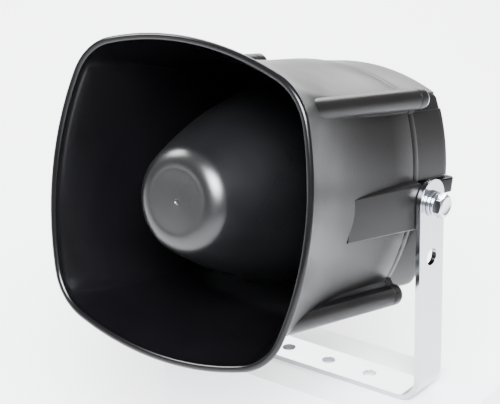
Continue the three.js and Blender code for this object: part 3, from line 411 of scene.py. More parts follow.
def section_reach(section, x, z):
    """How far the section reaches from its centre in the direction of (x, z)."""
    angle = math.atan2(abs(z), abs(x))
    ux, uz = math.cos(angle), math.sin(angle)
    cx, cz = corner_centre(section)
    back = section["half_width"] - section["side"]
    down = section["half_height"] - section["side"]
    side_end = math.atan2(cz, cx - back)
    top_start = math.atan2(cz - down, cx)
    last_side = (back + section["side"] * math.cos(side_end), section["side"] * math.sin(side_end))
    first_top = (section["side"] * math.cos(top_start), down + section["side"] * math.sin(top_start))
    if angle <= math.atan2(last_side[1], last_side[0]):
        centre, radius = (back, 0), section["side"]
    elif angle >= math.atan2(first_top[1], first_top[0]):
        centre, radius = (0, down), section["side"]
    else:
        centre, radius = (cx, cz), section["corner"]
    along = ux * centre[0] + uz * centre[1]
    return along + math.sqrt(along * along - centre[0] ** 2 - centre[1] ** 2 + radius * radius)


# ---------------------------------------------------------------------------------------------
# Bell
# ---------------------------------------------------------------------------------------------


def bell_shell():
    """The bell's wall as one closed loop of rings."""
    steps = 44
    lip_y = MOUTH_Y + LIP_RADIUS
    flare_end = lip_y + LIP_BLEND
    rings = []
    edge = 0.35
    for i in range(4):
        angle = math.pi / 2 * i / 3
        amount = edge * (1 - math.sin(angle))
        rings.append(section_ring(inset(SEAM, amount), SEAM_Y - edge * (1 - math.cos(angle))))
    for i in range(1, steps + 1):
        along = math.sqrt(i / steps)
        y = SEAM_Y - edge + (flare_end - SEAM_Y + edge) * along
        rings.append(section_ring(inset(bell_section(y), 0.2 * i / steps), y))
    lip_steps = 14
    for i in range(lip_steps + 1):
        angle = math.pi * i / lip_steps
        inward = LIP_RADIUS * (1 - math.cos(angle))
        rings.append(section_ring(inset(MOUTH, inward), lip_y - LIP_RADIUS * math.sin(angle)))
    for i in range(steps, -1, -1):
        along = math.sqrt(i / steps)
        y = WALL_FRONT_Y + (flare_end - WALL_FRONT_Y) * along
        rings.append(section_ring(inset(bell_section(y), BELL_WALL), y))
    inner_rim = section_ring(inset(SEAM, BELL_WALL), WALL_REAR_Y)
    rings.append(circle_ring(inner_rim, WALL_BORE, WALL_FRONT_Y))
    rings.append(circle_ring(inner_rim, WALL_BORE, WALL_REAR_Y))
    rings.append(inner_rim)
    rings.append(section_ring(inset(SEAM, BELL_WALL), SEAM_Y))
    return ring_shape(rings, closed=True)


def corner_tube(y0, y1, sx, sz, section_at, steps):
    """A screw tube on its rib. What would lie inside the wall is pulled out to the wall's middle."""
    turn = math.atan2(TUBE_Z, TUBE_X)
    outward = (math.cos(turn), math.sin(turn))
    across = (-outward[1], outward[0])
    rib_angle = math.degrees(math.asin(RIB_HALF / TUBE_RADIUS))
    wide = arc((0, 0), 1, -180 + rib_angle, 180 - rib_angle, 28)
    rings = []
    for i in range(steps + 1):
        y = y0 + (y1 - y0) * i / steps
        local = [(TUBE_RADIUS * c, TUBE_RADIUS * s) for c, s in wide]
        local.append((-RIB_DEPTH, RIB_HALF))
        local.append((-RIB_DEPTH, -RIB_HALF))
        wall = inset(section_at(y), BELL_WALL / 2)
        ring = []
        for a, b in local:
            x = TUBE_X + outward[0] * a + across[0] * b
            z = TUBE_Z + outward[1] * a + across[1] * b
            reach = section_reach(wall, x, z)
            stretch = max(1.0, reach / math.hypot(x, z))
            ring.append((sx * x * stretch, y, sz * z * stretch))
        rings.append(ring)
    return ring_shape(rings)


def side_pad(side):
    """The tapered pad on the bell's side: flush in front, level with the pivot block behind."""
    steps = 16
    front_x = bell_section(PAD_FRONT_Y)["half_width"] - 0.4
    rings = []
    for i in range(steps + 1):
        along = i / steps
        y = PAD_FRONT_Y + (SEAM_Y - PAD_FRONT_Y) * along
        x = front_x + (BLOCK_FACE_X - front_x) * along
        top = PAD_TOP_FRONT + (PAD_TOP_REAR - PAD_TOP_FRONT) * along
        inner = bell_section(y)["half_width"] - 1.4
        edge = 0.2 + 1.0 * along
        outline = [(inner, PAD_BOTTOM - 0.6)]
        outline += arc((x - edge, PAD_BOTTOM + edge), edge, -90, 0, 4)
        outline += arc((x - edge, top - edge), edge, 0, 90, 4)
        outline.append((inner, top + 0.6))
        rings.append([(side * a, y, b) for a, b in outline])
    return ring_shape(rings)


def make_bell():
    shapes = [bell_shell()]
    for _, sx, sz in CORNERS:
        shapes.append(corner_tube(TUBE_FRONT_Y, SEAM_Y, sx, sz, bell_section, 40))
    for _, side in SIDES:
        shapes.append(side_pad(side))
    return piece("bell", shapes)


# ---------------------------------------------------------------------------------------------
# Reflector
# ---------------------------------------------------------------------------------------------


def on_circle(radius, count, first_degrees):
    places = []
    for i in range(count):
        angle = math.radians(first_degrees + 360 * i / count)
        places.append((radius * math.cos(angle), radius * math.sin(angle)))
    return places


def cup_line(steps, lean):
    """The cup's wall from its nose's round shoulder to its rear rim, as (radius, y) points."""
    first_radius = NOSE_FLAT + NOSE_ROUND * math.cos(lean)
    first_y = NOSE_Y + NOSE_ROUND - NOSE_ROUND * math.sin(lean)
    points = []
    for i in range(steps + 1):
        opened = 1 - (1 - i / steps) ** CUP_POWER
        radius = first_radius + (CUP_REAR_RADIUS - first_radius) * opened
        points.append((radius, first_y + (CUP_REAR_Y - first_y) * i / steps))
    return points


def make_reflector():
    shoulder_y = NOSE_Y + NOSE_ROUND
    widening = CUP_REAR_RADIUS - NOSE_FLAT - 0.9 * NOSE_ROUND
    lean = math.atan(CUP_POWER * widening / (CUP_REAR_Y - shoulder_y))
    profile = [(0, NOSE_Y + 1.15), (0.9, NOSE_Y + 1.1), (NOSE_PIP, NOSE_Y + 0.75)]
    for i in range(1, 9):
        radius = NOSE_PIP + (NOSE_FLAT - NOSE_PIP) * i / 9
        profile.append((radius, NOSE_Y + NOSE_DISH * (1 - (radius / NOSE_FLAT) ** 2)))
    profile += arc((NOSE_FLAT, shoulder_y), NOSE_ROUND, -90, -math.degrees(lean), 24)
    profile += cup_line(24, lean)[1:]
    profile += [(radius - CUP_WALL, y) for radius, y in reversed(cup_line(12, lean))]
    profile += [(NOSE_FLAT + 4, NOSE_Y + 4.6), (NOSE_FLAT - 2, NOSE_Y + 3.2), (0, NOSE_Y + 3.2)]
    shapes = [revolve(profile, 128)]
    rear_y = WALL_FRONT_Y - 0.3
    stalk = [(0, STALK_FRONT_Y), (STALK_RADIUS, STALK_FRONT_Y), (STALK_RADIUS, rear_y), (0, rear_y)]
    for x, z in on_circle(STALK_CIRCLE, 3, 90):
        shapes.append(revolve(stalk, 24, x, z))
    return piece("reflector_cone", shapes)


# ---------------------------------------------------------------------------------------------
# Hood and rear housing
# ---------------------------------------------------------------------------------------------


def hood_path(section):
    """The section from the right over the roof to the left, let in round each upper corner."""
    low = inset(section, RECESS_DEPTH)
    cx, cz = corner_centre(low)
    side_end = math.degrees(math.atan2(cz, cx + low["side"] - low["half_width"]))
    top_start = math.degrees(math.atan2(cz + low["side"] - low["half_height"], cx))
    corner = arc((cx, cz), low["corner"], side_end, top_start, 12)
    step_x = min(RECESS_X, corner[-1][0])

    def side_point(at, z):
        return at["half_width"] - at["side"] + math.sqrt(at["side"] ** 2 - z * z), z

    def top_point(at, x):
        return x, at["half_height"] - at["side"] + math.sqrt(at["side"] ** 2 - x * x)

    half = [side_point(section, HOOD_BOTTOM + (RECESS_Z - HOOD_BOTTOM) * i / 12) for i in range(13)]
    half += [side_point(low, RECESS_Z + (corner[0][1] - RECESS_Z) * i / 4) for i in range(4)]
    half += corner
    half += [top_point(section, step_x * (1 - i / 14)) for i in range(15)]
    return half + [(-x, z) for x, z in half[-2::-1]]


def half_tub(levels):
    """A shell open towards its path's ends: levels hold (y, outer path, inner y, inner path)."""
    size = len(levels[0][1])
    count = len(levels)
    points = []
    for y, outer, _, _ in levels:
        points += [(x, y, z) for x, z in outer]
    for _, _, y, inner in levels:
        points += [(x, y, z) for x, z in inner]
    shift = count * size
    faces = []
    for i in range(count - 1):
        for j in range(size - 1):
            a, b = i * size + j, (i + 1) * size + j
            faces.append((a, b, b + 1, a + 1))
            faces.append((shift + a, shift + a + 1, shift + b + 1, shift + b))
        for j in (0, size - 1):
            a, b = i * size + j, (i + 1) * size + j
            faces.append((a, shift + a, shift + b, b))
    for j in range(size - 1):
        faces.append((j, j + 1, shift + j + 1, shift + j))
    end = (count - 1) * size
    faces.append(tuple(end + j for j in range(size)))
    faces.append(tuple(shift + end + j for j in reversed(range(size))))
    faces.append((end, end + size - 1, shift + end + size - 1, shift + end))
    return points, faces


def edge_levels(front, rear, edge, straight, steps=6):
    """(y, inset) pairs along a wall that rounds off at its rear end."""
    levels = [(front + (rear - edge - front) * i / straight, 0.0) for i in range(straight)]
    for i in range(steps + 1):
        angle = math.pi / 2 * i / steps
        levels.append((rear - edge + edge * math.sin(angle), edge * (1 - math.cos(angle))))
    return levels


def hood_section(y, amount):
    along = (y - HOOD_FRONT_Y) / (HOOD_REAR_Y - HOOD_FRONT_Y)
    section = inset(SEAM, HOOD_INSET + amount, 3)
    section["half_height"] -= HOOD_SLOPE * along
    section["half_width"] -= HOOD_TAPER * along
    return section


def make_hood():
    outer_levels = edge_levels(HOOD_FRONT_Y, HOOD_REAR_Y, HOOD_EDGE, 10)
    inner_levels = edge_levels(HOOD_FRONT_Y, HOOD_REAR_Y - REAR_WALL, 0.6, 10)
    levels = []
    for (y, amount), (inner_y, inner_amount) in zip(outer_levels, inner_levels):
        outer = hood_path(hood_section(y, amount))
        inner = hood_path(hood_section(inner_y, REAR_WALL + inner_amount))
        levels.append((y, outer, inner_y, inner))
    hood = piece("hood_shell", [half_tub(levels)], smooth_angle=28)
    bevel(hood, 0.2, 2, 60)
    return hood


def bowl_path(section, top_z):
    """The lower half of a section, from the right edge at top_z round the bottom to the left edge."""
    side = section["side"]
    back = section["half_width"] - side
    edge_x = back + math.sqrt(side * side - top_z * top_z)
    quarter = [(x, -z) for x, z in section_quarter(section)]
    return [(edge_x, top_z)] + quarter + [(-x, z) for x, z in quarter[-2::-1]] + [(-edge_x, top_z)]


def make_bowl():
    bowl = inset(SEAM, FLANGE_INSET)
    bowl["corner"] = BOWL_CORNER
    top_z = SHELF_BOTTOM + 0.4
    levels = []
    front = FLANGE_REAR_Y - 0.1
    outer_levels = edge_levels(front, BOWL_REAR_Y, BOWL_EDGE, 6, 10)
    inner_levels = edge_levels(front, BOWL_REAR_Y - REAR_WALL, BOWL_EDGE - REAR_WALL, 6, 10)
    for (y, amount), (inner_y, inner_amount) in zip(outer_levels, inner_levels):
        outer = bowl_path(inset(bowl, amount), top_z)
        inner = bowl_path(inset(bowl, REAR_WALL + inner_amount), top_z)
        levels.append((y, outer, inner_y, inner))
    return half_tub(levels)


def make_shelf():
    """The flat ledge between bowl and hood: a U seen from above."""
    front = FLANGE_FRONT_Y + 1
    inner_half = SHELF_HALF - 10
    inner_rear = SHELF_REAR_Y - 6.5
    outline = [(inner_half, front), (SHELF_HALF, front)]
    outline += arc((SHELF_HALF - 5, SHELF_REAR_Y - 5), 5, 0, 90, 10)
    outline += arc((-SHELF_HALF + 5, SHELF_REAR_Y - 5), 5, 90, 180, 10)
    outline += [(-SHELF_HALF, front), (-inner_half, front)]
    outline += arc((-inner_half + 8, inner_rear - 8), 8, 180, 90, 8)
    outline += arc((inner_half - 8, inner_rear - 8), 8, 90, 0, 8)
    return plate(outline, SHELF_BOTTOM, SHELF_TOP, 0.7)


def make_flange():
    """The ring that meets the bell's rear rim, with a rebate for the seal inside its front lip."""
    edge = 0.25
    floor_y = FLANGE_FRONT_Y + REBATE_DEPTH
    rings = []
    for amount, y in (
        (edge, FLANGE_FRONT_Y),
        (edge * 0.3, FLANGE_FRONT_Y + edge * 0.3),
        (0, FLANGE_FRONT_Y + edge),
        (0, FLANGE_REAR_Y - edge),
        (edge * 0.3, FLANGE_REAR_Y - edge * 0.3),
        (edge, FLANGE_REAR_Y),
    ):
        rings.append(section_ring(inset(SEAM, FLANGE_INSET + amount), y))
    rings.append(circle_ring(rings[0], HOUSING_BORE, FLANGE_REAR_Y))
    rings.append(circle_ring(rings[0], HOUSING_BORE, floor_y))
    rings.append(section_ring(inset(SEAM, REBATE_INSET), floor_y))
    rings.append(section_ring(inset(SEAM, REBATE_INSET), FLANGE_FRONT_Y))
    return ring_shape(rings, closed=True)


def rod(radius, y0, y1, x, z, edge=0.5, segments=40):
    """A cylinder along y with rounded ends."""
    profile = [(0, y0)]
    profile += [(radius - edge + r, y0 + edge + y) for r, y in arc((0, 0), edge, -90, 0, 4)]
    profile += [(radius - edge + r, y1 - edge + y) for r, y in arc((0, 0), edge, 0, 90, 4)]
    profile.append((0, y1))
    return revolve(profile, segments, x, z)


def seam_section(_):
    return SEAM


def make_housing():
    shapes = [make_flange(), make_bowl(), make_shelf()]
    post_rear = HOOD_REAR_Y - REAR_WALL - 0.3
    for _, sx, sz in CORNERS:
        shapes.append(rod(TUBE_RADIUS, FLANGE_FRONT_Y, FLANGE_REAR_Y, sx * TUBE_X, sz * TUBE_Z, 0.3))
        shapes.append(corner_tube(FLANGE_FRONT_Y + 0.3, FLANGE_REAR_Y - 0.3, sx, sz, seam_section, 2))
    for _, side in SIDES:
        outline = rounded_rectangle(FLANGE_FRONT_Y, BLOCK_REAR_Y, PAD_BOTTOM, SHELF_TOP, 1.2)
        low, high = sorted((side * BLOCK_ROOT_X, side * BLOCK_FACE_X))
        shapes.append(plate(outline, low, high, 0.9, axis="x"))
        shapes.append(rod(POST_RADIUS, FLANGE_REAR_Y - 1, post_rear, side * POST_X, POST_Z))
    return piece("rear_case", shapes)


# ---------------------------------------------------------------------------------------------
# Bracket
# ---------------------------------------------------------------------------------------------


def strap_path():
    """The strap's outer and inner lines as pairs, up the left arm's end to the right arm's end."""
    inner = BEND_RADIUS - STRAP_THICK
    turn = BRACKET_HALF - BEND_RADIUS
    steps = 20
    outer_points = [(-BRACKET_HALF, ARM_TOP)]
    outer_points += arc((-turn, BEND_RADIUS), BEND_RADIUS, 180, 270, steps)
    outer_points += arc((turn, BEND_RADIUS), BEND_RADIUS, 270, 360, steps)
    outer_points.append((BRACKET_HALF, ARM_TOP))
    inner_points = [(-BRACKET_HALF + STRAP_THICK, ARM_TOP)]
    inner_points += arc((-turn, BEND_RADIUS), inner, 180, 270, steps)
    inner_points += arc((turn, BEND_RADIUS), inner, 270, 360, steps)
    inner_points.append((BRACKET_HALF - STRAP_THICK, ARM_TOP))
    return list(zip(outer_points, inner_points))


def make_bracket():
    half = STRAP_WIDTH / 2
    rings = []
    for (ox, oz), (ix, iz) in strap_path():
        rings.append([(ox, -half, oz), (ox, half, oz), (ix, half, iz), (ix, -half, iz)])
    strap = piece("bracket_strap", [ring_shape(rings)], UPRIGHT_PLACE)
    side_view = [(-half, -1), (half, -1)] + arc((0, ARM_TOP - half), half, 0, 180, 40)
    reach = BRACKET_HALF + 2
    envelope = plate(side_view, -reach, reach, 0.01, axis="x", steps=1)
    combine(strap, piece("arm_shape", [envelope], UPRIGHT_PLACE), "INTERSECT")
    for radius, height in ((PIVOT_HOLE, PIVOT_HEIGHT), (SPARE_HOLE, PIVOT_HEIGHT - SPARE_HOLE_DROP)):
        hole = rod(radius, -reach, reach, 0, 0, 0.01, 48)
        across = Matrix.Translation((0, 0, height)) @ Matrix.Rotation(math.pi / 2, 4, "Z")
        combine(strap, piece("hole", [turned(hole, across)], UPRIGHT_PLACE), "DIFFERENCE")
    for k in (-1, 0, 1):
        hole = rod(BASE_HOLE, -1, STRAP_THICK + 1, 0, 0, 0.01, 40)
        along = Matrix.Translation((k * BASE_HOLE_SPACING, 0, 0))
        upright = along @ Matrix.Rotation(math.pi / 2, 4, "X")
        combine(strap, piece("hole", [turned(hole, upright)], UPRIGHT_PLACE), "DIFFERENCE")
    bevel(strap, 0.45)
    return strap


# ---------------------------------------------------------------------------------------------
# Bolts, washers and screws
# ---------------------------------------------------------------------------------------------


def along_x(shape, side):
    """A shape made along +y, turned to run outwards along x on one side."""
    return turned(shape, Matrix.Rotation(-side * math.pi / 2, 4, "Z"))


def make_pivot_bolt(name, side):
    top = BOLT_SEAT_X + HEX_HEIGHT
    hexagon = on_circle(HEX_FLATS / math.sqrt(3), 6, 90)  # corners at top and bottom
    rings = [[(a, y, b) for a, b in hexagon] for y in (BOLT_SEAT_X, top)]
    head = piece(f"bolt_{name}", [along_x(ring_shape(rings), side)])
    rim = HEX_FLATS / 2
    cone = [(0, BOLT_SEAT_X - 1), (rim + 0.7, BOLT_SEAT_X - 1), (rim + 0.7, BOLT_SEAT_X + 0.2)]
    cone += [(rim + 0.95, BOLT_SEAT_X + 0.5), (rim + 0.95, top - 1.0), (rim - 0.5, top)]
    cone += [(rim - 1.2, top), (rim - 1.5, top - 0.25), (rim - 1.8, top - 0.4), (0, top - 0.4)]
    combine(head, piece("chamfer", [along_x(revolve(cone, 72), side)]), "INTERSECT")
    bevel(head, 0.22, 2)
    shaft = rod(BOLT_RADIUS, BOLT_SEAT_X - BOLT_LENGTH, BOLT_SEAT_X + 0.5, 0, 0)
    shank = piece(f"bolt_shank_{name}", [along_x(shaft, side)])
    return head, shank


def ring_profile(inner, outer, low, high, edge):
    """A washer's section with rounded edges."""
    return (
        arc((inner + edge, low + edge), edge, 180, 270, 3)
        + arc((outer - edge, low + edge), edge, 270, 360, 3)
        + arc((outer - edge, high - edge), edge, 0, 90, 3)
        + arc((inner + edge, high - edge), edge, 90, 180, 3)
    )


def make_washer(name, side):
    profile = ring_profile(BOLT_RADIUS + 0.25, WASHER_RADIUS, WASHER_X, WASHER_X + WASHER_THICK, 0.3)
    return piece(f"flat_washer_{name}", [along_x(revolve(profile, 72), side)])


def make_spring_washer(name, side):
    """A split ring: its two ends stand a little apart."""
    climb = 0.2
    high = SPRING_X + SPRING_THICK - climb
    profile = ring_profile(BOLT_RADIUS + 0.2, SPRING_RADIUS, SPRING_X, high, 0.3)
    steps = 60
    rings = []
    for i in range(steps + 1):
        turn = math.radians(95 + 350 * i / steps)
        rise = climb * i / steps
        rings.append([(r * math.cos(turn), y + rise, r * math.sin(turn)) for r, y in profile])
    return piece(f"split_washer_{name}", [along_x(ring_shape(rings), side)])


def make_screw(name, x, z, seat, length, radius, head_radius, head_height):
    """A pan-head screw with a cross recess, its head towards +y."""
    top = seat + head_height
    tip = seat - length
    profile = [(0, tip), (radius - 0.4, tip), (radius, tip + 0.6), (radius, seat)]
    profile += [(head_radius - 0.2, seat), (head_radius, seat + 0.2)]
    profile.append((head_radius, seat + head_height * 0.4))
    for i in range(1, 6):
        angle = math.pi / 2 * i / 6
        height = head_height * (0.4 + 0.6 * math.sin(angle))
        profile.append((head_radius * math.cos(angle), seat + height))
    profile.append((0, top))
    screw = piece(name, [revolve(profile, 40, x, z)])
    arm = head_radius * 0.5
    low, high = top - head_height * 0.5, top + 1
    for a, b in ((arm, CROSS_HALF), (CROSS_HALF, arm)):
        outline = rounded_rectangle(z - a, z + a, x - b, x + b, 0.2, 2)
        bar = plate(outline, low, high, 0.05, "y", 1)
        combine(screw, piece("recess", [bar]), "DIFFERENCE")
    return screw


def make_corner_fixings():
    fixings = []
    low = FLANGE_REAR_Y + 0.1
    high = low + CORNER_WASHER_THICK
    seat = high + 0.1
    profile = ring_profile(CORNER_WASHER_BORE, CORNER_WASHER_RADIUS, low, high, 0.15)
    for name, sx, sz in CORNERS:
        x, z = sx * TUBE_X, sz * TUBE_Z
        washer = piece(f"tube_washer_{name}", [revolve(profile, 48, x, z)])
        screw = make_screw(f"tube_screw_{name}", x, z, seat, seat - SCREW_TIP_Y, **CORNER_SCREW)
        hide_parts(f"corner_washer_{name}")
        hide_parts(f"corner_screw_{name}")
        fixings += [washer, screw]
    return fixings


def hexagon_ring(across_flats, low, high, edge):
    """A hexagonal collar round the gland's line, flats at top and bottom."""
    corner = across_flats / math.sqrt(3)
    rings = []
    for amount, y in ((edge, low), (0, low + edge), (0, high - edge), (edge, high)):
        rings.append([(a, y, GLAND_Z + b) for a, b in on_circle(corner - amount, 6, 0)])
    return ring_shape(rings)


def make_gland():
    """Cable gland: threaded body with a hexagonal collar, and a ribbed cap."""
    collar_y = HOOD_REAR_Y + 0.25
    inner_end = HOOD_REAR_Y - REAR_WALL - 5
    seal_seat = collar_y + 5
    outer_end = collar_y + 8.6
    sleeve = [(GLAND_BORE, inner_end), (GLAND_THREAD, inner_end), (GLAND_THREAD, outer_end)]
    sleeve += [(4.2, outer_end), (4.2, seal_seat), (GLAND_BORE, seal_seat)]
    body = piece("gland_sleeve", [revolve(sleeve, 48, 0, GLAND_Z)])
    collar = piece("gland_collar", [hexagon_ring(GLAND_FLATS, collar_y, collar_y + 3.9, 0.5)])
    bore = piece("bore", [rod(4.5, collar_y - 1, collar_y + 5, 0, GLAND_Z, 0.01)])
    combine(collar, bore, "DIFFERENCE")
    cap_low = HOOD_REAR_Y + 4.6
    steps = CAP_RIBS * 6
    rings = []
    for radius, y, depth in (
        (5.1, cap_low, 0),
        (6.6, cap_low, 0.25),
        (6.85, cap_low + 0.3, 0.35),
        (6.85, cap_low + 5.4, 0.35),
        (6.5, cap_low + 6.2, 0.2),
        (5.2, cap_low + 8.2, 0),
        (4.9, cap_low + 8.4, 0),
        (GLAND_BORE, cap_low + 8.4, 0),
        (GLAND_BORE, cap_low + 6.3, 0),
        (5.1, cap_low + 5.1, 0),
    ):
        ring = []
        for j in range(steps):
            angle = 2 * math.pi * j / steps
            r = radius - depth * (0.5 - 0.5 * math.cos(CAP_RIBS * angle))
            ring.append((r * math.cos(angle), y, GLAND_Z + r * math.sin(angle)))
        rings.append(ring)
    cap = piece("gland_dome", [ring_shape(rings, closed=True)])
    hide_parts("gland_body")
    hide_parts("gland_cap")
    return [body, collar, cap]


# ---------------------------------------------------------------------------------------------
# Materials
# ---------------------------------------------------------------------------------------------

GRAIN_DEPTH = 0.06 * MM


def surface(name, colour, roughness, metallic=0.0, specular=0.5):
    """A new material with its node tree, shader and object coordinates."""
    material = bpy.data.materials.new(name)
    material.use_nodes = True
    tree = material.node_tree
    shader = tree.nodes["Principled BSDF"]
    shader.inputs["Base Color"].default_value = (*colour, 1)
    shader.inputs["Roughness"].default_value = roughness
    shader.inputs["Metallic"].default_value = metallic
    shader.inputs["Specular IOR Level"].default_value = specular
    place = tree.nodes.new("ShaderNodeTexCoord")
    return material, tree, shader, place.outputs["Object"]


def noise(tree, coordinates, scale, detail=3.0, stretch=None):
    texture = tree.nodes.new("ShaderNodeTexNoise")
    texture.inputs["Scale"].default_value = scale
    texture.inputs["Detail"].default_value = detail
    if stretch:
        mapping = tree.nodes.new("ShaderNodeMapping")
        mapping.inputs["Scale"].default_value = stretch
        tree.links.new(coordinates, mapping.inputs["Vector"])
        coordinates = mapping.outputs["Vector"]
    tree.links.new(coordinates, texture.inputs["Vector"])
    return texture.outputs["Fac"]


def ramp(tree, factor, low, high, start=0.3, end=0.7):
    """Maps a texture to values between low and high."""
    step = tree.nodes.new("ShaderNodeMapRange")
    step.inputs["From Min"].default_value = start
    step.inputs["From Max"].default_value = end
    step.inputs["To Min"].default_value = low
    step.inputs["To Max"].default_value = high
    tree.links.new(factor, step.inputs["Value"])
    return step.outputs["Result"]


def tint(tree, factor, first, second):
    mix = tree.nodes.new("ShaderNodeMix")
    mix.data_type = "RGBA"
    mix.inputs["A"].default_value = (*first, 1)
    mix.inputs["B"].default_value = (*second, 1)
    tree.links.new(factor, mix.inputs["Factor"])
    return mix.outputs["Result"]


def relief(tree, shader, height, strength, distance):
    bump = tree.nodes.new("ShaderNodeBump")
    bump.inputs["Strength"].default_value = strength
    bump.inputs["Distance"].default_value = distance
    tree.links.new(height, bump.inputs["Height"])
    tree.links.new(bump.outputs["Normal"], shader.inputs["Normal"])


def plastic(name, colour, roughness, grain, grain_size, specular):
    """Moulded plastic: a fine grain, and a slow drift in its gloss and colour."""
    material, tree, shader, place = surface(name, colour, roughness, specular=specular)
    drift = noise(tree, place, 28, 2)
    tree.links.new(ramp(tree, drift, roughness * 0.88, roughness * 1.12), shader.inputs["Roughness"])
    lighter = tuple(c * 1.35 for c in colour)
    tree.links.new(tint(tree, ramp(tree, drift, 0, 1), colour, lighter), shader.inputs["Base Color"])
    relief(tree, shader, noise(tree, place, 1 / (grain_size * MM), 2), grain, GRAIN_DEPTH)
    return material


def plated(name, colour, roughness, brushed=0.0):
    """Bright plated steel with faint rolling marks along x."""
    material, tree, shader, place = surface(name, colour, roughness, metallic=1.0)
    marks = noise(tree, place, 900, 2, stretch=(0.04, 1, 0.04))
    tree.links.new(ramp(tree, marks, roughness * 0.8, roughness * 1.3), shader.inputs["Roughness"])
    if brushed:
        relief(tree, shader, marks, brushed, GRAIN_DEPTH / 2)
    return material


def plain(name, colour, roughness, metallic):
    """A quiet finish for small and inner parts."""
    material, tree, shader, place = surface(name, colour, roughness, metallic)
    drift = noise(tree, place, 220, 3)
    tree.links.new(ramp(tree, drift, roughness * 0.85, roughness * 1.15), shader.inputs["Roughness"])
    return material


def make_materials():
    """One finish for each material slot of the CAD model."""
    made = {
        # name, colour, roughness, grain, grain size, specular
        "bell_plastic": plastic("satin_black", (0.0034, 0.0031, 0.003), 0.34, 0.7, 0.8, 0.1),
        "bell_inside": plastic("gloss_black_inside", (0.0012, 0.0011, 0.0014), 0.2, 0.12, 0.7, 0.3),
        "housing_plastic": plastic("gloss_black", (0.001, 0.001, 0.0011), 0.14, 0.1, 0.6, 0.04),
        "hood_plastic": plastic("satin_black_hood", (0.0034, 0.0031, 0.003), 0.34, 0.6, 0.8, 0.12),
        "nose_plastic": plastic("semi_gloss_black", (0.002, 0.002, 0.0023), 0.29, 0.3, 0.5, 0.6),
        # name, colour, roughness, brushed
        "bracket_steel": plated("bracket_steel", (0.46, 0.47, 0.49), 0.14, 0.15),
        "bolt_steel": plated("bolt_steel", (0.56, 0.58, 0.62), 0.14),
        "screw_steel": plated("screw_steel", (0.6, 0.61, 0.63), 0.28),
    }
    for slot, name, colour, roughness, metallic in (
        ("inner_plastic", "inner_grey", (0.03, 0.03, 0.032), 0.6, 0),
        ("gland_plastic", "black_nylon", (0.015, 0.015, 0.016), 0.45, 0),
        ("gasket_rubber", "gasket_rubber", (0.012, 0.012, 0.012), 0.85, 0),
        ("diaphragm_resin", "resin_cloth", (0.12, 0.055, 0.03), 0.6, 0),
        ("coil_copper", "coil_copper", (0.45, 0.2, 0.1), 0.35, 1),
        ("plated_iron", "plated_iron", (0.5, 0.51, 0.52), 0.35, 1),
        ("ferrite", "ferrite", (0.03, 0.03, 0.032), 0.75, 0),
        ("terminal_plastic", "terminal_plastic", (0.7, 0.68, 0.62), 0.5, 0),
        ("wire_black", "wire_black", (0.015, 0.015, 0.016), 0.5, 0),
        ("wire_red", "wire_red", (0.35, 0.02, 0.02), 0.5, 0),
        ("brass_fittings", "brass_fittings", (0.62, 0.45, 0.16), 0.35, 1),
    ):
        made[slot] = plain(name, colour, roughness, metallic)
    return made


def dress(obj, material):
    obj.data.materials.clear()
    obj.data.materials.append(material)


def gloss_inside(bell, material):
    """Gives the bell's rim, and its faces that look at its axis or forwards, their own finish."""
    bell.data.materials.append(material)
    to_horn = HORN_PLACE.inverted()
    turn = to_horn.to_3x3()
    for face in bell.data.polygons:
        centre = to_horn @ face.center
        normal = turn @ face.normal
        inward = normal.x * centre.x + normal.z * centre.z
        faces_axis = inward < -0.2 * abs(centre.x) * normal.length
        faces_front = centre.y > WALL_FRONT_Y - 0.5 and normal.y < -0.9 * normal.length
        on_rim = centre.y < MOUTH_Y + LIP_RADIUS
        if faces_axis or faces_front or on_rim:
            face.material_index = 1


def satin_flange(housing, material):
    """Gives the clamped edge of the rear housing, which shows behind the bell, the bell's finish."""
    housing.data.materials.append(material)
    to_horn = HORN_PLACE.inverted()
    for face in housing.data.polygons:
        if (to_horn @ face.center).y < FLANGE_REAR_Y + 0.05:
            face.material_index = 1


# ---------------------------------------------------------------------------------------------
# Studio
# ---------------------------------------------------------------------------------------------

# The camera; lengths in this section are in metres
AZIMUTH = math.radians(37.36)
ELEVATION = math.radians(22.8)
ROLL = math.radians(-1.33)
DISTANCE = 0.8599
TARGET = Vector((-0.037, 0, 0.0789))
LENS = 127.7
SHIFT_X = -0.0297
SHIFT_Y = -0.0045

WORLD_COLOUR = (0.97, 0.98, 1.0)
WORLD_STRENGTH = 0.65

FLOOR_PALE = (0.8, 0.8, 0.81)
FLOOR_HALF = 4
FLOOR_THICK = 0.01
PLINTH_HALF_X = 0.08
PLINTH_HALF_Y = 0.03
PLINTH_HEIGHT = 0.045


def make_camera():
    back = Vector(
        (
            math.sin(AZIMUTH) * math.cos(ELEVATION),
            -math.cos(AZIMUTH) * math.cos(ELEVATION),
            math.sin(ELEVATION),
        )
    )
    right = Vector((math.cos(AZIMUTH), math.sin(AZIMUTH), 0))
    up = back.cross(right)
    rolled_right = right * math.cos(ROLL) + up * math.sin(ROLL)
    rolled_up = up * math.cos(ROLL) - right * math.sin(ROLL)
    turn = Matrix((rolled_right, rolled_up, back)).transposed().to_4x4()
    data = bpy.data.cameras.new("camera")
    data.sensor_width = 36
    data.lens = LENS
    data.shift_x = SHIFT_X
    data.shift_y = SHIFT_Y
    data.clip_start = 0.01
    camera = bpy.data.objects.new("camera", data)
    camera.matrix_world = Matrix.Translation(TARGET + back * DISTANCE) @ turn
    bpy.context.scene.collection.objects.link(camera)
    bpy.context.scene.camera = camera


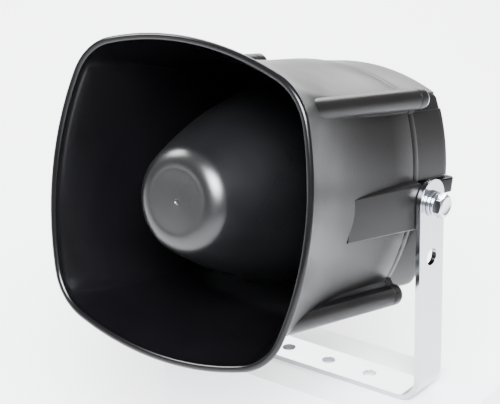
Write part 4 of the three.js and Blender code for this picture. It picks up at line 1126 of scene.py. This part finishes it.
def area_light(name, place, target, size, power, colour=(1, 1, 1), spread=180):
    data = bpy.data.lights.new(name, "AREA")
    data.shape = "RECTANGLE"
    data.size, data.size_y = size
    data.energy = power
    data.color = colour
    data.spread = math.radians(spread)
    light = bpy.data.objects.new(name, data)
    place = Vector(place)
    facing = (Vector(target) - place).to_track_quat("-Z", "Y")
    light.matrix_world = Matrix.Translation(place) @ facing.to_matrix().to_4x4()
    bpy.context.scene.collection.objects.link(light)


def make_floor():
    """A plain pale floor, and a low plinth that lets the mouth swing below the bracket's base."""
    finish, tree, shader, place = surface("floor_finish", FLOOR_PALE, 0.6, specular=0.2)
    drift = noise(tree, place, 6, 2)
    tree.links.new(ramp(tree, drift, 0.5, 0.7), shader.inputs["Roughness"])
    bottom = -PLINTH_HEIGHT - FLOOR_THICK
    for name, half_x, half_y, top in (
        ("floor", FLOOR_HALF, FLOOR_HALF, -PLINTH_HEIGHT),
        ("plinth", PLINTH_HALF_X, PLINTH_HALF_Y, 0),
    ):
        outline = ((-half_x, -half_y), (half_x, -half_y), (half_x, half_y), (-half_x, half_y))
        points, faces = ring_shape([[(x, y, z) for x, y in outline] for z in (top, bottom)])
        mesh = bpy.data.meshes.new(name)
        mesh.from_pydata(points, [], faces)
        obj = bpy.data.objects.new(name, mesh)
        bpy.context.scene.collection.objects.link(obj)
        dress(obj, finish)


def make_studio():
    world = bpy.data.worlds.new("studio")
    world.use_nodes = True
    background = world.node_tree.nodes["Background"]
    background.inputs["Color"].default_value = (*WORLD_COLOUR, 1)
    background.inputs["Strength"].default_value = WORLD_STRENGTH
    bpy.context.scene.world = world
    middle = (0, 0, 0.08)
    # name, place, target, size, watts
    area_light("overhead", (-1.0, 1.2, 1.2), (-0.6, 0.7, 0), (1.1, 1.1), 16, spread=66)
    area_light("key", (-1.1, -0.25, 1.1), (-0.1, 0.1, 0), (0.5, 0.5), 26)
    area_light("left", (-1.1, -1.7, 0.4), middle, (0.8, 0.5), 5)
    area_light("rear", (-1.1, 1.7, 0.8), middle, (1.6, 1.0), 44)
    cool = (0.93, 0.96, 1.0)
    area_light("front", (0.85, -1.05, 1.25), middle, (1.3, 1.0), 40, cool, spread=50)


# ---------------------------------------------------------------------------------------------
# Putting it together
# ---------------------------------------------------------------------------------------------

make_camera()
make_floor()
make_studio()
materials = make_materials()
slot_of = {entry["node"]: entry["material_slot"] for entry in frame["record"]["subparts"]}
for node, obj in frame["nodes"].items():
    dress(obj, materials[slot_of[node]])


def finish_piece(obj, body, slot, *nodes):
    """Material, body, slot and the CAD nodes that a piece stands for."""
    if nodes:
        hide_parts(*nodes)
    dress(obj, materials[slot])
    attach(obj, body)


bell = make_bell()
finish_piece(bell, "horn_body", "bell_plastic", "horn_bell")
gloss_inside(bell, materials["bell_inside"])
finish_piece(make_reflector(), "horn_body", "nose_plastic", "reflector")
finish_piece(make_hood(), "horn_body", "hood_plastic", "hood")
housing = make_housing()
finish_piece(housing, "horn_body", "housing_plastic", "rear_housing")
satin_flange(housing, materials["bell_plastic"])
finish_piece(make_bracket(), "bracket_body", "bracket_steel", "bracket")
for name, side in SIDES:
    head, shank = make_pivot_bolt(name, side)
    finish_piece(head, "horn_body", "bolt_steel", f"pivot_bolt_{name}")
    finish_piece(shank, "horn_body", "bolt_steel")
    finish_piece(make_washer(name, side), "horn_body", "bolt_steel", f"pivot_washer_{name}")
    split = make_spring_washer(name, side)
    finish_piece(split, "horn_body", "bolt_steel", f"pivot_spring_washer_{name}")
    seat = HOOD_REAR_Y + 0.15
    post_x = side * POST_X
    screw = make_screw(f"lid_screw_{name}", post_x, POST_Z, seat, HOOD_SCREW_LENGTH, **HOOD_SCREW)
    finish_piece(screw, "horn_body", "screw_steel", f"hood_screw_{name}")
for obj in make_corner_fixings():
    finish_piece(obj, "horn_body", "screw_steel")
for obj in make_gland():
    finish_piece(obj, "horn_body", "gland_plastic")

bpy.context.view_layer.update()
